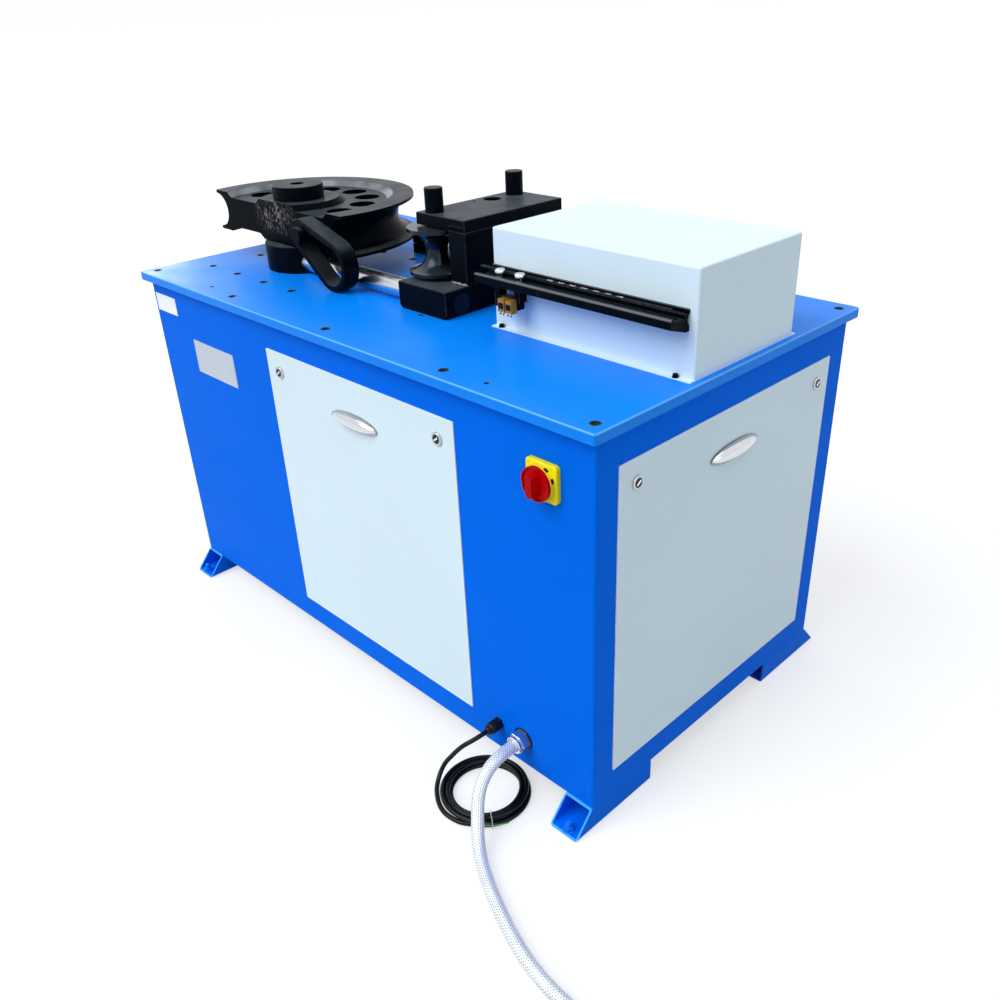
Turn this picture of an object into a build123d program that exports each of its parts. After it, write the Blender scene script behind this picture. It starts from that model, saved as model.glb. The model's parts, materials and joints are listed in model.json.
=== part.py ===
from build123d import *
import math
import os

# Hydraulic pipe bender, in millimetres. The origin is on the floor under the middle of the table.
# X runs to the right along the long front, Y to the back and Z up.

os.makedirs("parts", exist_ok=True)

# Fits between pieces
running_gap = 0.05
slip_gap = 0.3
seat_gap = 0.1

# Table, cabinet and feet
table_length = 1500
table_width = 830
table_thickness = 20
table_edge = 1.5
overhang_ends = 14
overhang_sides = 18
cabinet_height = 790
cabinet_wall = 3
cabinet_corner = 5
cabinet_flange = 40
foot_height = 55
foot_width = 70
foot_wall = 4
foot_corner = 6
foot_inner_end = 213
foot_reach = 48

cabinet_length = table_length - 2 * overhang_ends
cabinet_width = table_width - 2 * overhang_sides
cabinet_bottom = foot_height
cabinet_top = cabinet_bottom + cabinet_height
table_top = cabinet_top + table_thickness
front_y = -cabinet_width / 2
end_x = cabinet_length / 2

# Holes in the table
bolt_hole = 15
small_hole = 7
edge_hole_inset = 34
edge_hole_end_inset = 29
edge_hole_middle = 363
drive_hole_near = 59
drive_hole_far = 177
drive_hole_front = 166
drive_hole_back = 194
drive_hole_side_front = 28
drive_hole_side_back = 56
small_holes = [(-473, -371), (469, -375), (83, -198)]

# Doors, their pulls and their locks
door_sheet = 2.5
door_above = 65
door_below = 63
door_lap = 12
front_door_x = 90.5
front_door_width = 619
end_door_y = -2.5
end_door_width = 675
lock_inset = 46
lock_head_radius = 13.5
lock_head_height = 4
lock_shank_radius = 6
lock_slot_length = 17
lock_slot_width = 4
lock_slot_depth = 2
cam_thickness = 3
cam_width = 14
cam_clearance = 1
cam_catch = 8
pull_drop = 90
pull_length = 152
pull_width = 38
pull_rim = 5
pull_dome_inset = 2.5
pull_rim_height = 3
pull_wall = 2
pull_wrap = 118

# Main switch
switch_inset = 111
switch_drop = 105
switch_plate_size = 72
switch_plate_corner = 8
switch_plate_height = 10
switch_plate_edge = 2
switch_collar_radius = 33.5
switch_collar_height = 9
padlock_hole_length = 7
padlock_hole_width = 5
padlock_hole_depth = 8
padlock_angles = [22, 58]
knob_radius = 32
knob_disc = 6
knob_dish = 3
knob_rim = 3
knob_notch = 5
knob_notch_angles = [-105, 190]
knob_grip_length = 48
knob_grip_width = 20
knob_grip_height = 18
knob_grip_taper = 10
knob_shaft_radius = 5
isolator_size = 60
isolator_depth = 70
isolator_bore = 23

# Bending die on its spindle. Heights are over the table.
die_inset = 281
die_y = -104
bend_height = 113.7
groove_radius = 41.2
die_radius = 278
die_thickness = 96.6
die_web = 72
die_rim = 50.5
die_rim_slope = 16
die_under_slope = 44
die_hub_radius = 97
die_hub_slope = 14
die_chord = 72
light_hole = 62
light_hole_circle = 165
light_hole_step = 30
housing_radius = 97
housing_round = 5
housing_clearance = 1
shaft_radius = 45
shaft_nose_radius = 35
shaft_depth = 180
cap_radius = 61
cap_height = 32.5
cap_roof = 12
cap_hole = 33
cap_screw_hole = 10
cap_screw_angle = -120

# Holding strap on its pin
strap_width = 40
strap_gap = 0.5
strap_reach = 118.9
strap_eye_radius = 36
strap_loop_radius = 43.5
strap_band = 13.5
strap_lift = 1.5
strap_pin_along = 157.5
strap_pin_radius = 19
strap_pin_seat = 25
strap_pin_end = 12.5

# Guide rods and the block of the rear one
rod_radius = 22
rod_height = 25
rod_front_y = -146
rod_back_y = 166
rod_socket_start = 59
rod_block_left = -345
rod_block_length = 80
rod_block_width = 56
rod_block_height = 52
rod_block_slit = 2

# Carriage with its rollers
carriage_left = 6
carriage_length = 150
base_front = -190
base_back = 210
base_top = 58
base_lift = 0.5
base_chamfer = 8
column_thickness = 51
column_front = -128
column_back = 162
plate_thickness = 25
plate_edge = 1.5
roller_inset = 34
roller_back_y = 131
roller_radius = 62
roller_neck = 24
roller_play = 3
roller_seat_radius = 30
pin_radius = 19.5
pin_stand = 50
pin_seat = 8
pin_chamfer = 1.5
spare_bore_y = 62
plate_hole = 9
plate_hole_inset = 19
plate_hole_y = 22

# Hydraulic cylinder that pushes the carriage
cylinder_y = 10
cylinder_height = 100
cylinder_bore = 50
cylinder_wall = 10
cylinder_inset = 38
cylinder_length = 375
cylinder_head = 40
cylinder_cap = 25
cylinder_foot_width = 140
port_radius = 8
port_inset = 16
piston_inset = 308
piston_width = 40
piston_rod_radius = 25
rod_spigot_radius = 18
rod_spigot = 30

# Sheet cover over the cylinder
cover_length = 484
cover_front = -142
cover_back = 173
cover_height = 195
cover_sheet = 2
cover_corner = 4
cover_flange = 12
cover_rod_hole = 28

# Scale rail on the cover's front, with its switch holders
rail_inset = 1
rail_length = 467
rail_depth = 53
rail_front_low = 100
rail_front_high = 117
rail_round = 3
rail_lobe_low = 86
rail_lobe_width = 9
rail_lip_high = 124.5
rail_lip_width = 5
rail_hollow_radius = 12
rail_hollow_height = 107
slot_behind_front = 30
slot_width = 7
slot_end = 8
channel_behind_front = 10
channel_width = 28
channel_depth = 7
holder_width = 14
holder_depth = 20
holder_low = 70
left_holder_along = 41
right_holder_along = 94.5
arm_low = 55
arm_high = 76
thumb_radius = 10
thumb_height = 5.5
thumb_stand = 7.5
thumb_shank_radius = 3
thumb_collar_radius = 5
switch_width = 16.5
switch_depth = 15
switch_tall = 25.5
switch_high = 76.3
left_switch_along = 66.3
right_switch_along = 86.3
switch_window_width = 11
switch_window_height = 9
switch_window_depth = 1.5
plunger_radius = 2.5
plunger_length = 8
plunger_stand = 2
plunger_edge = 0.6

# Drive and hydraulic pieces inside the cabinet
gearbox_flange_width = 400
gearbox_flange_corner = 12
gearbox_flange_thickness = 20
gearbox_radius = 150
gearbox_height = 205
worm_radius = 70
worm_length = 380
worm_offset = 110
worm_drop = 110
drive_motor_radius = 95
drive_motor_length = 170
motor_fin = 8
motor_fin_thickness = 3
motor_fin_count = 20
motor_cowl = 44
tank_end_gap = 23
tank_length = 330
tank_width = 500
tank_height = 272
tank_wall = 3
tank_fillet = 12
filler_radius = 25
filler_height = 18
filler_inset = 75
pump_motor_along = 200
pump_motor_y = 120
pump_motor_radius = 82
pump_motor_length = 280
pump_flange_radius = 100
pump_flange_thickness = 14
valve_along = 100
valve_y = -120
valve_length = 120
valve_width = 160
valve_height = 90
solenoid_radius = 22
solenoid_length = 70
box_length = 250
box_depth = 124
box_height = 300
box_wall = 2
box_end_gap = 18

# Cable gland and hose fitting on the front
gland_inset = 257
gland_z = 120
gland_flats = 24
gland_hex = 15
gland_dome_radius = 10
gland_dome_round = 4
gland_length = 37
gland_nut = 8
fitting_inset = 186
fitting_z = 121
fitting_flats = 40
fitting_hex = 22
fitting_edge = 1
fitting_sleeve_radius = 17
fitting_length = 28

# Mains lead and braided hose. A route's point is a step along the front and out from it, and the
# share of the fitting's height that is left. Each coil begins at a place stepped off the same way.
cord_lift = 0.3
corner_share = 0.45
climb_slope = 1.5
lead_radius = 5
lead_coil_gap = 0.6
lead_coil_along = 79
lead_coil_out = 156.7
lead_coil_radius = 92
lead_coil_start = -60
lead_quarters_in = 8
lead_quarters = 16
lead_last_run = 20
hose_radius = 13
hose_coil_gap = 1
hose_coil_along = 490
hose_coil_out = 314
hose_coil_radius = 157
hose_coil_start = 90
hose_quarters_in = 5
hose_quarters = 10
hose_last_run = 54
connector_radius = 14.5
connector_length = 45
lead_route = [
    (0, 37, 1),
    (0, 50, 1),
    (-3.4, 63.2, 0.973),
    (-10.2, 75, 0.92),
    (-20.2, 83.8, 0.841),
    (-35.5, 90.5, 0.669),
    (-49.5, 96.8, 0.481),
    (-60, 102.5, 0.337),
    (-63.8, 109.8, 0.218),
    (-62.6, 120, 0.111),
    (-56.8, 131.6, 0.031),
    (-47, 143.2, 0),
    (-33, 154, 0),
    (-16, 165, 0),
    (2, 172.5, 0),
    (22, 176, 0),
]
hose_route = [
    (0, 28, 1),
    (0, 57, 1),
    (0.5, 84, 0.963),
    (3, 110, 0.865),
    (9, 132, 0.717),
    (19.5, 150, 0.522),
    (34, 165.5, 0.318),
    (52, 182.5, 0.164),
    (74.5, 200, 0.058),
    (101, 217.5, 0.005),
    (147, 242, 0),
    (200, 266, 0),
    (254, 287, 0),
    (304, 302, 0),
    (356, 311, 0),
]


def front_plane(x, z):
    """Plane on the cabinet's front, facing out, with its own y upwards."""
    return Plane(origin=(x, front_y, z), x_dir=(1, 0, 0), z_dir=(0, -1, 0))


def end_plane(y, z):
    """Plane on the cabinet's right end, facing out, with its own y upwards."""
    return Plane(origin=(end_x, y, z), x_dir=(0, 1, 0), z_dir=(1, 0, 0))


door_height = cabinet_height - door_above - door_below
door_middle = cabinet_bottom + door_below + door_height / 2
door_top = door_middle + door_height / 2
lock_z = door_top - lock_inset
pull_z = door_top - pull_drop
front_locks = [front_door_x + side * (front_door_width / 2 - lock_inset) for side in (-1, 1)]
end_locks = [end_door_y + side * (end_door_width / 2 - lock_inset) for side in (-1, 1)]
switch_x = end_x - switch_inset
switch_z = cabinet_top - switch_drop
gland_x = end_x - gland_inset
fitting_x = end_x - fitting_inset
die_x = die_inset - table_length / 2
cover_right = end_x
cover_left = cover_right - cover_length
rail_left = cover_left + rail_inset
cylinder_left = cover_left + cylinder_inset
piston_middle = cover_left + piston_inset

# Bolt holes along the table's edges and round the drive
edge_hole_x = table_length / 2 - edge_hole_end_inset
edge_hole_y = table_width / 2 - edge_hole_inset
edge_holes = [(x, side * edge_hole_y)
              for x in (-edge_hole_x, -edge_hole_middle, 0, edge_hole_middle, edge_hole_x)
              for side in (-1, 1)]
drive_holes = [(die_x + x, die_y + y)
               for x in (-drive_hole_far, -drive_hole_near, drive_hole_near, drive_hole_far)
               for y in (-drive_hole_front, drive_hole_back)]
drive_holes += [(die_x + x, die_y + y)
                for x in (-drive_hole_far, drive_hole_far)
                for y in (-drive_hole_side_front, drive_hole_side_back)]

# Cabinet of folded sheet, with a flange under the table and two door openings
with BuildPart() as cabinet_shell:
    with BuildSketch(Plane.XY.offset(cabinet_bottom)):
        RectangleRounded(cabinet_length, cabinet_width, cabinet_corner)
    extrude(amount=cabinet_height)
    with BuildSketch(Plane.XY.offset(cabinet_bottom + cabinet_wall)):
        Rectangle(cabinet_length - 2 * cabinet_wall, cabinet_width - 2 * cabinet_wall)
    extrude(amount=cabinet_height - 2 * cabinet_wall, mode=Mode.SUBTRACT)
    with BuildSketch(Plane.XY.offset(cabinet_top - cabinet_wall)):
        Rectangle(cabinet_length - 2 * cabinet_flange, cabinet_width - 2 * cabinet_flange)
    extrude(amount=cabinet_wall, mode=Mode.SUBTRACT)
    with BuildSketch(Plane.XY.offset(cabinet_top)):
        with Locations(*edge_holes):
            Circle(bolt_hole / 2)
    extrude(amount=-cabinet_wall, mode=Mode.SUBTRACT)
    with BuildSketch(front_plane(front_door_x, door_middle)):
        Rectangle(front_door_width - 2 * door_lap, door_height - 2 * door_lap)
    extrude(amount=-cabinet_wall, mode=Mode.SUBTRACT)
    with BuildSketch(end_plane(end_door_y, door_middle)):
        Rectangle(end_door_width - 2 * door_lap, door_height - 2 * door_lap)
    extrude(amount=-cabinet_wall, mode=Mode.SUBTRACT)
    with BuildSketch(front_plane(0, 0)):
        with Locations((switch_x, switch_z)):
            Circle(knob_shaft_radius + slip_gap)
        with Locations((gland_x, gland_z)):
            Circle(gland_dome_radius)
        with Locations((fitting_x, fitting_z)):
            Circle(fitting_sleeve_radius)
    extrude(amount=-cabinet_wall, mode=Mode.SUBTRACT)
cabinet_shell.part.label = "cabinet_shell"
export_step(cabinet_shell.part, "parts/cabinet_shell.step")

# Table plate with its bolt holes
with BuildPart() as table_plate:
    with BuildSketch(Plane.XY.offset(cabinet_top)):
        RectangleRounded(table_length, table_width, cabinet_corner)
    extrude(amount=table_thickness)
    chamfer(table_plate.faces().sort_by(Axis.Z)[-1].edges(), table_edge)
    with BuildSketch(Plane.XY.offset(table_top)):
        with Locations(*edge_holes, *drive_holes):
            Circle(bolt_hole / 2)
        with Locations(*small_holes):
            Circle(small_hole / 2)
        with Locations((die_x, die_y)):
            Circle(shaft_radius + slip_gap)
    extrude(amount=-table_thickness, mode=Mode.SUBTRACT)
table_plate.part.label = "table_plate"
export_step(table_plate.part, "parts/table_plate.step")


# Feet: stubs of rectangular tube, cut at a slant where they stand out past the cabinet
def make_foot(side_x, side_y):
    middle_x = side_x * (end_x - foot_width / 2)
    outer_end = cabinet_width / 2 + foot_reach
    section = Plane(origin=(middle_x, side_y * foot_inner_end, foot_height / 2),
                    x_dir=(1, 0, 0), z_dir=(0, side_y, 0))
    with BuildPart() as foot:
        with BuildSketch(section):
            RectangleRounded(foot_width, foot_height, foot_corner)
            RectangleRounded(foot_width - 2 * foot_wall, foot_height - 2 * foot_wall,
                             foot_corner - foot_wall, mode=Mode.SUBTRACT)
        extrude(amount=outer_end - foot_inner_end)
        with BuildSketch(Plane.YZ.offset(middle_x - foot_width / 2)):
            Polygon((side_y * outer_end, 0),
                    (side_y * outer_end, foot_height),
                    (side_y * (outer_end - foot_reach), foot_height), align=None)
        extrude(amount=foot_width, mode=Mode.SUBTRACT)
    return foot.part


for end_name, side_x in (("left", -1), ("right", 1)):
    for face_name, side_y in (("front", -1), ("back", 1)):
        foot_name = f"foot_{face_name}_{end_name}"
        foot = make_foot(side_x, side_y)
        foot.label = foot_name
        export_step(foot, f"parts/{foot_name}.step")


# Doors: flat panels that lap the cabinet's openings
def make_door(face, width, lock_places):
    with BuildPart() as door:
        with BuildSketch(face.offset(slip_gap)):
            RectangleRounded(width, door_height, door_sheet)
            with Locations(*[(place, door_height / 2 - lock_inset) for place in lock_places]):
                Circle(lock_shank_radius + running_gap, mode=Mode.SUBTRACT)
        extrude(amount=door_sheet)
    return door.part


# Quarter-turn lock: slotted head outside, shank through the door, cam behind the cabinet's edge
def make_lock(face, cam_side):
    cam_reach = lock_inset - door_lap + cam_catch - cam_width / 2
    cam_back = face.offset(-cabinet_wall - cam_clearance - cam_thickness)
    head_seat = slip_gap + door_sheet + seat_gap
    with BuildPart() as lock:
        with BuildSketch(cam_back):
            with Locations((cam_side * cam_reach / 2, 0)):
                SlotCenterToCenter(cam_reach, cam_width)
        extrude(amount=cam_thickness)
        with BuildSketch(cam_back):
            Circle(lock_shank_radius)
        extrude(amount=cabinet_wall + cam_clearance + cam_thickness + head_seat)
        with BuildSketch(face.offset(head_seat)):
            Circle(lock_head_radius)
        extrude(amount=lock_head_height)
        fillet(lock.edges().filter_by(GeomType.CIRCLE).group_by(SortBy.RADIUS)[-1]
               .sort_by(Axis(face.origin, face.z_dir))[-1:], lock_slot_depth)
        with BuildSketch(face.offset(head_seat + lock_head_height)):
            Rectangle(lock_slot_width, lock_slot_length)
        extrude(amount=-lock_slot_depth, mode=Mode.SUBTRACT)
    return lock.part


# Cup pull: an oval rim and a domed shell that leaves the lower side open for the fingers
def make_pull(face):
    seat = face.offset(slip_gap + door_sheet)
    half_length = pull_length / 2
    half_width = pull_width / 2
    dome_length = half_length - pull_dome_inset
    dome_width = half_width - pull_dome_inset
    with BuildPart() as pull:
        with BuildSketch(seat):
            Ellipse(half_length, half_width)
            Ellipse(half_length - pull_rim, half_width - pull_rim, mode=Mode.SUBTRACT)
        extrude(amount=pull_rim_height)
        with BuildSketch(seat):
            with BuildLine():
                EllipticalCenterArc((0, 0), dome_length, dome_width, arc_size=180)
                Line((-dome_length, 0), (dome_length, 0))
            make_face()
            with BuildLine():
                EllipticalCenterArc((0, 0), dome_length - pull_wall, dome_width - pull_wall,
                                    arc_size=180)
                Line((-dome_length + pull_wall, 0), (dome_length - pull_wall, 0))
            make_face(mode=Mode.SUBTRACT)
        revolve(axis=Axis(seat.origin, seat.x_dir), revolution_arc=pull_wrap)
    return pull.part


doors = [
    ("front", front_plane(front_door_x, door_middle), front_door_width, front_plane,
     front_door_x, front_locks),
    ("end", end_plane(end_door_y, door_middle), end_door_width, end_plane,
     end_door_y, end_locks),
]
for door_name, door_face, door_width, face_at, middle, lock_places in doors:
    door = make_door(door_face, door_width, [place - middle for place in lock_places])
    door.label = f"{door_name}_door"
    export_step(door, f"parts/{door_name}_door.step")
    pull = make_pull(face_at(middle, pull_z))
    pull.label = f"{door_name}_pull"
    export_step(pull, f"parts/{door_name}_pull.step")
    for lock_name, cam_side, place in zip(("left", "right"), (1, -1), lock_places):
        lock = make_lock(face_at(place, lock_z), cam_side)
        lock.label = f"{door_name}_lock_{lock_name}"
        export_step(lock, f"parts/{door_name}_lock_{lock_name}.step")

# Main switch: square base with a round collar, knob with a grip, isolator behind the wall
switch_face = front_plane(switch_x, switch_z)
switch_height = switch_plate_height + switch_collar_height
with BuildPart() as switch_plate:
    with BuildSketch(switch_face):
        RectangleRounded(switch_plate_size, switch_plate_size, switch_plate_corner)
    extrude(amount=switch_plate_height)
    chamfer(switch_plate.faces().sort_by(Axis.Y)[0].edges(), switch_plate_edge)
    with BuildSketch(switch_face.offset(switch_plate_height)):
        Circle(switch_collar_radius)
    extrude(amount=switch_collar_height)
    collar_middle = switch_face.offset(switch_plate_height + switch_collar_height / 2)
    for padlock_angle in padlock_angles:
        outward = Vector(1, 0, 0).rotate(Axis.Y, -padlock_angle)
        side = Plane(origin=collar_middle.origin + outward * switch_collar_radius,
                     x_dir=collar_middle.z_dir, z_dir=outward)
        with BuildSketch(side):
            Rectangle(padlock_hole_width, padlock_hole_length)
        extrude(amount=-padlock_hole_depth, mode=Mode.SUBTRACT)
    with BuildSketch(switch_face.offset(switch_height)):
        Circle(knob_shaft_radius + running_gap)
    extrude(amount=-switch_height, mode=Mode.SUBTRACT)
switch_plate.part.label = "switch_plate"
export_step(switch_plate.part, "parts/switch_plate.step")

knob_face = switch_face.offset(switch_height + slip_gap)
knob_reach = switch_height + slip_gap + cabinet_wall + isolator_bore
with BuildPart() as switch_knob:
    with BuildSketch(knob_face):
        Circle(knob_radius)
    extrude(amount=knob_disc)
    with BuildSketch(knob_face.offset(knob_disc)):
        Circle(knob_radius - knob_rim)
    extrude(amount=-knob_dish, mode=Mode.SUBTRACT)
    with BuildSketch(knob_face):
        for notch_angle in knob_notch_angles:
            with PolarLocations(knob_radius, 1, start_angle=notch_angle):
                Rectangle(2 * knob_rim, knob_notch)
    extrude(amount=knob_disc, mode=Mode.SUBTRACT)
    with BuildSketch(knob_face.offset(knob_disc - knob_dish)):
        SlotOverall(knob_grip_length, knob_grip_width, rotation=90)
    extrude(amount=knob_grip_height, taper=knob_grip_taper)
    with BuildSketch(knob_face):
        Circle(knob_shaft_radius)
    extrude(amount=-knob_reach)
switch_knob.part.label = "switch_knob"
export_step(switch_knob.part, "parts/switch_knob.step")

isolator_face = switch_face.offset(-cabinet_wall - box_wall)
with BuildPart() as isolator:
    with BuildSketch(isolator_face):
        RectangleRounded(isolator_size, isolator_size, switch_plate_corner)
    extrude(amount=-isolator_depth)
    with BuildSketch(isolator_face):
        Circle(knob_shaft_radius + running_gap)
    extrude(amount=-isolator_bore - slip_gap, mode=Mode.SUBTRACT)
isolator.part.label = "isolator"
export_step(isolator.part, "parts/isolator.step")

# Control box behind the main switch, open towards the cabinet's middle
box_x = end_x - cabinet_wall - box_end_gap - box_length / 2
box_face = front_plane(box_x, cabinet_top - cabinet_wall - cabinet_flange - box_height / 2)
with BuildPart() as control_box:
    with BuildSketch(box_face.offset(-cabinet_wall)):
        Rectangle(box_length, box_height)
    extrude(amount=-box_depth)
    with BuildSketch(box_face.offset(-cabinet_wall - box_wall)):
        Rectangle(box_length - 2 * box_wall, box_height - 2 * box_wall)
    extrude(amount=-box_depth, mode=Mode.SUBTRACT)
    with BuildSketch(switch_face.offset(-cabinet_wall)):
        Circle(knob_shaft_radius + slip_gap)
    extrude(amount=-box_wall, mode=Mode.SUBTRACT)
control_box.part.label = "control_box"
export_step(control_box.part, "parts/control_box.step")

# Spindle housing: the round collar on the table, with a socket for the front guide rod
bend_z = table_top + bend_height
die_low = bend_z - die_thickness / 2
die_high = bend_z + die_thickness / 2
housing_top = die_low - housing_clearance
rod_z = table_top + rod_height
rod_front_start = die_x + rod_socket_start
carriage_right = carriage_left + carriage_length
with BuildPart() as spindle_housing:
    with BuildSketch(Plane.XY.offset(table_top)):
        with Locations((die_x, die_y)):
            Circle(housing_radius)
    extrude(amount=housing_top - table_top)
    fillet(spindle_housing.faces().sort_by(Axis.Z)[-1].edges(), housing_round)
    with BuildSketch(Plane.XY.offset(housing_top)):
        with Locations((die_x, die_y)):
            Circle(shaft_radius + running_gap)
    extrude(amount=table_top - housing_top, mode=Mode.SUBTRACT)
    with BuildSketch(Plane.YZ.offset(rod_front_start)):
        with Locations((rod_front_y, rod_z)):
            Circle(rod_radius + running_gap)
    extrude(amount=housing_radius, mode=Mode.SUBTRACT)
spindle_housing.part.label = "spindle_housing"
export_step(spindle_housing.part, "parts/spindle_housing.step")

# Spindle shaft from the gearbox up through the table, the housing and the die into the cap
shaft_bottom = cabinet_top - shaft_depth
cap_bore_top = die_high + cap_height - cap_roof
with BuildPart() as spindle_shaft:
    with BuildSketch(Plane.XY.offset(shaft_bottom)):
        with Locations((die_x, die_y)):
            Circle(shaft_radius)
    extrude(amount=die_low - shaft_bottom)
    with BuildSketch(Plane.XY.offset(die_low)):
        with Locations((die_x, die_y)):
            Circle(shaft_nose_radius)
    extrude(amount=cap_bore_top - die_low - seat_gap)
    chamfer(spindle_shaft.faces().sort_by(Axis.Z)[-1].edges(), pin_chamfer)
spindle_shaft.part.label = "spindle_shaft"
export_step(spindle_shaft.part, "parts/spindle_shaft.step")

# Bending die: a grooved disc with hub, web and rim, cut flat in front and lightened by holes
die_axis = Axis((die_x, die_y, 0), (0, 0, 1))
web_low = bend_z - die_web / 2
web_high = bend_z + die_web / 2
nose_bore = shaft_nose_radius + running_gap
rim_inner = die_radius - die_rim
chord_y = die_y - die_chord
light_holes = round(180 / light_hole_step) + 1
with BuildPart() as bending_die:
    with BuildSketch(Plane.XZ.offset(-die_y)):
        with BuildLine():
            Polyline((die_x + die_radius, bend_z - groove_radius),
                     (die_x + die_radius, die_low),
                     (die_x + rim_inner, die_low),
                     (die_x + rim_inner - die_under_slope, web_low),
                     (die_x + die_hub_radius + die_hub_slope, web_low),
                     (die_x + die_hub_radius, die_low),
                     (die_x + nose_bore, die_low),
                     (die_x + nose_bore, die_high),
                     (die_x + die_hub_radius, die_high),
                     (die_x + die_hub_radius + die_hub_slope, web_high),
                     (die_x + rim_inner - die_rim_slope, web_high),
                     (die_x + rim_inner, die_high),
                     (die_x + die_radius, die_high),
                     (die_x + die_radius, bend_z + groove_radius))
            ThreePointArc((die_x + die_radius, bend_z + groove_radius),
                          (die_x + die_radius - groove_radius, bend_z),
                          (die_x + die_radius, bend_z - groove_radius))
        make_face()
    revolve(axis=die_axis)
    with BuildSketch(Plane.XZ.offset(-chord_y)):
        with Locations((die_x, bend_z)):
            Rectangle(2 * die_radius, die_thickness)
    extrude(amount=die_radius, mode=Mode.SUBTRACT)
    with BuildSketch(Plane.XY.offset(die_low)):
        with Locations((die_x, die_y)):
            with PolarLocations(light_hole_circle, light_holes, angular_range=180, endpoint=True):
                Circle(light_hole / 2)
    extrude(amount=die_thickness, mode=Mode.SUBTRACT)
    with BuildSketch(Plane.XZ.offset(-chord_y)):
        with Locations((die_x + strap_pin_along, bend_z)):
            Circle(strap_pin_radius + running_gap)
    extrude(amount=-strap_pin_seat, mode=Mode.SUBTRACT)
bending_die.part.label = "bending_die"
export_step(bending_die.part, "parts/bending_die.step")

# Spindle cap over the shaft's nose, with a centre hole and a hole for its set screw
cap_top = die_high + cap_height
cap_screw_z = die_high + (cap_height - cap_roof) / 2
cap_screw_plane = Plane(origin=(die_x, die_y, cap_screw_z),
                        z_dir=Vector(1, 0, 0).rotate(Axis.Z, cap_screw_angle))
with BuildPart() as spindle_cap:
    with BuildSketch(Plane.XY.offset(die_high)):
        with Locations((die_x, die_y)):
            Circle(cap_radius)
    extrude(amount=cap_height)
    chamfer(spindle_cap.faces().sort_by(Axis.Z)[-1].edges(), pin_chamfer)
    with BuildSketch(Plane.XY.offset(die_high)):
        with Locations((die_x, die_y)):
            Circle(nose_bore)
    extrude(amount=cap_bore_top - die_high, mode=Mode.SUBTRACT)
    with BuildSketch(Plane.XY.offset(cap_top)):
        with Locations((die_x, die_y)):
            Circle(cap_hole / 2)
    extrude(amount=-cap_roof, mode=Mode.SUBTRACT)
    with BuildSketch(cap_screw_plane.offset(cap_radius)):
        Circle(cap_screw_hole / 2)
    extrude(amount=nose_bore - cap_radius, mode=Mode.SUBTRACT)
spindle_cap.part.label = "spindle_cap"
export_step(spindle_cap.part, "parts/spindle_cap.step")

# Strap pin in the die's flat face
strap_back_y = chord_y - strap_gap
strap_pin_x = die_x + strap_pin_along
with BuildPart() as strap_pin:
    with BuildSketch(Plane.XZ.offset(-chord_y - strap_pin_seat)):
        with Locations((strap_pin_x, bend_z)):
            Circle(strap_pin_radius)
    extrude(amount=strap_pin_seat + strap_gap + strap_width + strap_pin_end)
    chamfer(strap_pin.faces().sort_by(Axis.Y)[0].edges(), pin_chamfer)
strap_pin.part.label = "strap_pin"
export_step(strap_pin.part, "parts/strap_pin.step")

# Holding strap: a closed teardrop band that hangs on its pin, just clear of the table
strap_outer_radius = strap_loop_radius + strap_band
strap_drop = bend_height - strap_outer_radius - strap_lift
strap_loop_x = strap_pin_x + math.sqrt(strap_reach ** 2 - strap_drop ** 2)
strap_loop_z = bend_z - strap_drop
with BuildPart() as hold_strap:
    with BuildSketch(Plane.XZ.offset(-strap_back_y)):
        with Locations((strap_pin_x, bend_z)):
            Circle(strap_eye_radius)
        with Locations((strap_loop_x, strap_loop_z)):
            Circle(strap_outer_radius)
        make_hull()
    extrude(amount=strap_width)
    with BuildSketch(Plane.XZ.offset(-strap_back_y)):
        with Locations((strap_pin_x, bend_z)):
            Circle(strap_pin_radius + running_gap)
        with Locations((strap_loop_x, strap_loop_z)):
            Circle(strap_loop_radius)
        make_hull()
    extrude(amount=strap_width, mode=Mode.SUBTRACT)
    chamfer(hold_strap.faces().sort_by(Axis.Y)[0].edges(), pin_chamfer)
hold_strap.part.label = "hold_strap"
export_step(hold_strap.part, "parts/hold_strap.step")

# Guide rods: the front one in the housing's socket, the rear one in a split block
with BuildPart() as rod_front:
    with BuildSketch(Plane.YZ.offset(rod_front_start)):
        with Locations((rod_front_y, rod_z)):
            Circle(rod_radius)
    extrude(amount=carriage_right - rod_front_start)
rod_front.part.label = "rod_front"
export_step(rod_front.part, "parts/rod_front.step")

with BuildPart() as rod_back:
    with BuildSketch(Plane.YZ.offset(rod_block_left)):
        with Locations((rod_back_y, rod_z)):
            Circle(rod_radius)
    extrude(amount=carriage_right - rod_block_left)
rod_back.part.label = "rod_back"
export_step(rod_back.part, "parts/rod_back.step")

with BuildPart() as rod_block:
    with BuildSketch(Plane.YZ.offset(rod_block_left)):
        with Locations((rod_back_y, table_top + rod_block_height / 2)):
            RectangleRounded(rod_block_width, rod_block_height, plate_edge)
        with Locations((rod_back_y - rod_block_width / 2, rod_z)):
            Rectangle(rod_block_width, rod_block_slit, mode=Mode.SUBTRACT)
        with Locations((rod_back_y, rod_z)):
            Circle(rod_radius + running_gap, mode=Mode.SUBTRACT)
    extrude(amount=rod_block_length)
rod_block.part.label = "rod_block"
export_step(rod_block.part, "parts/rod_block.step")

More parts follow.
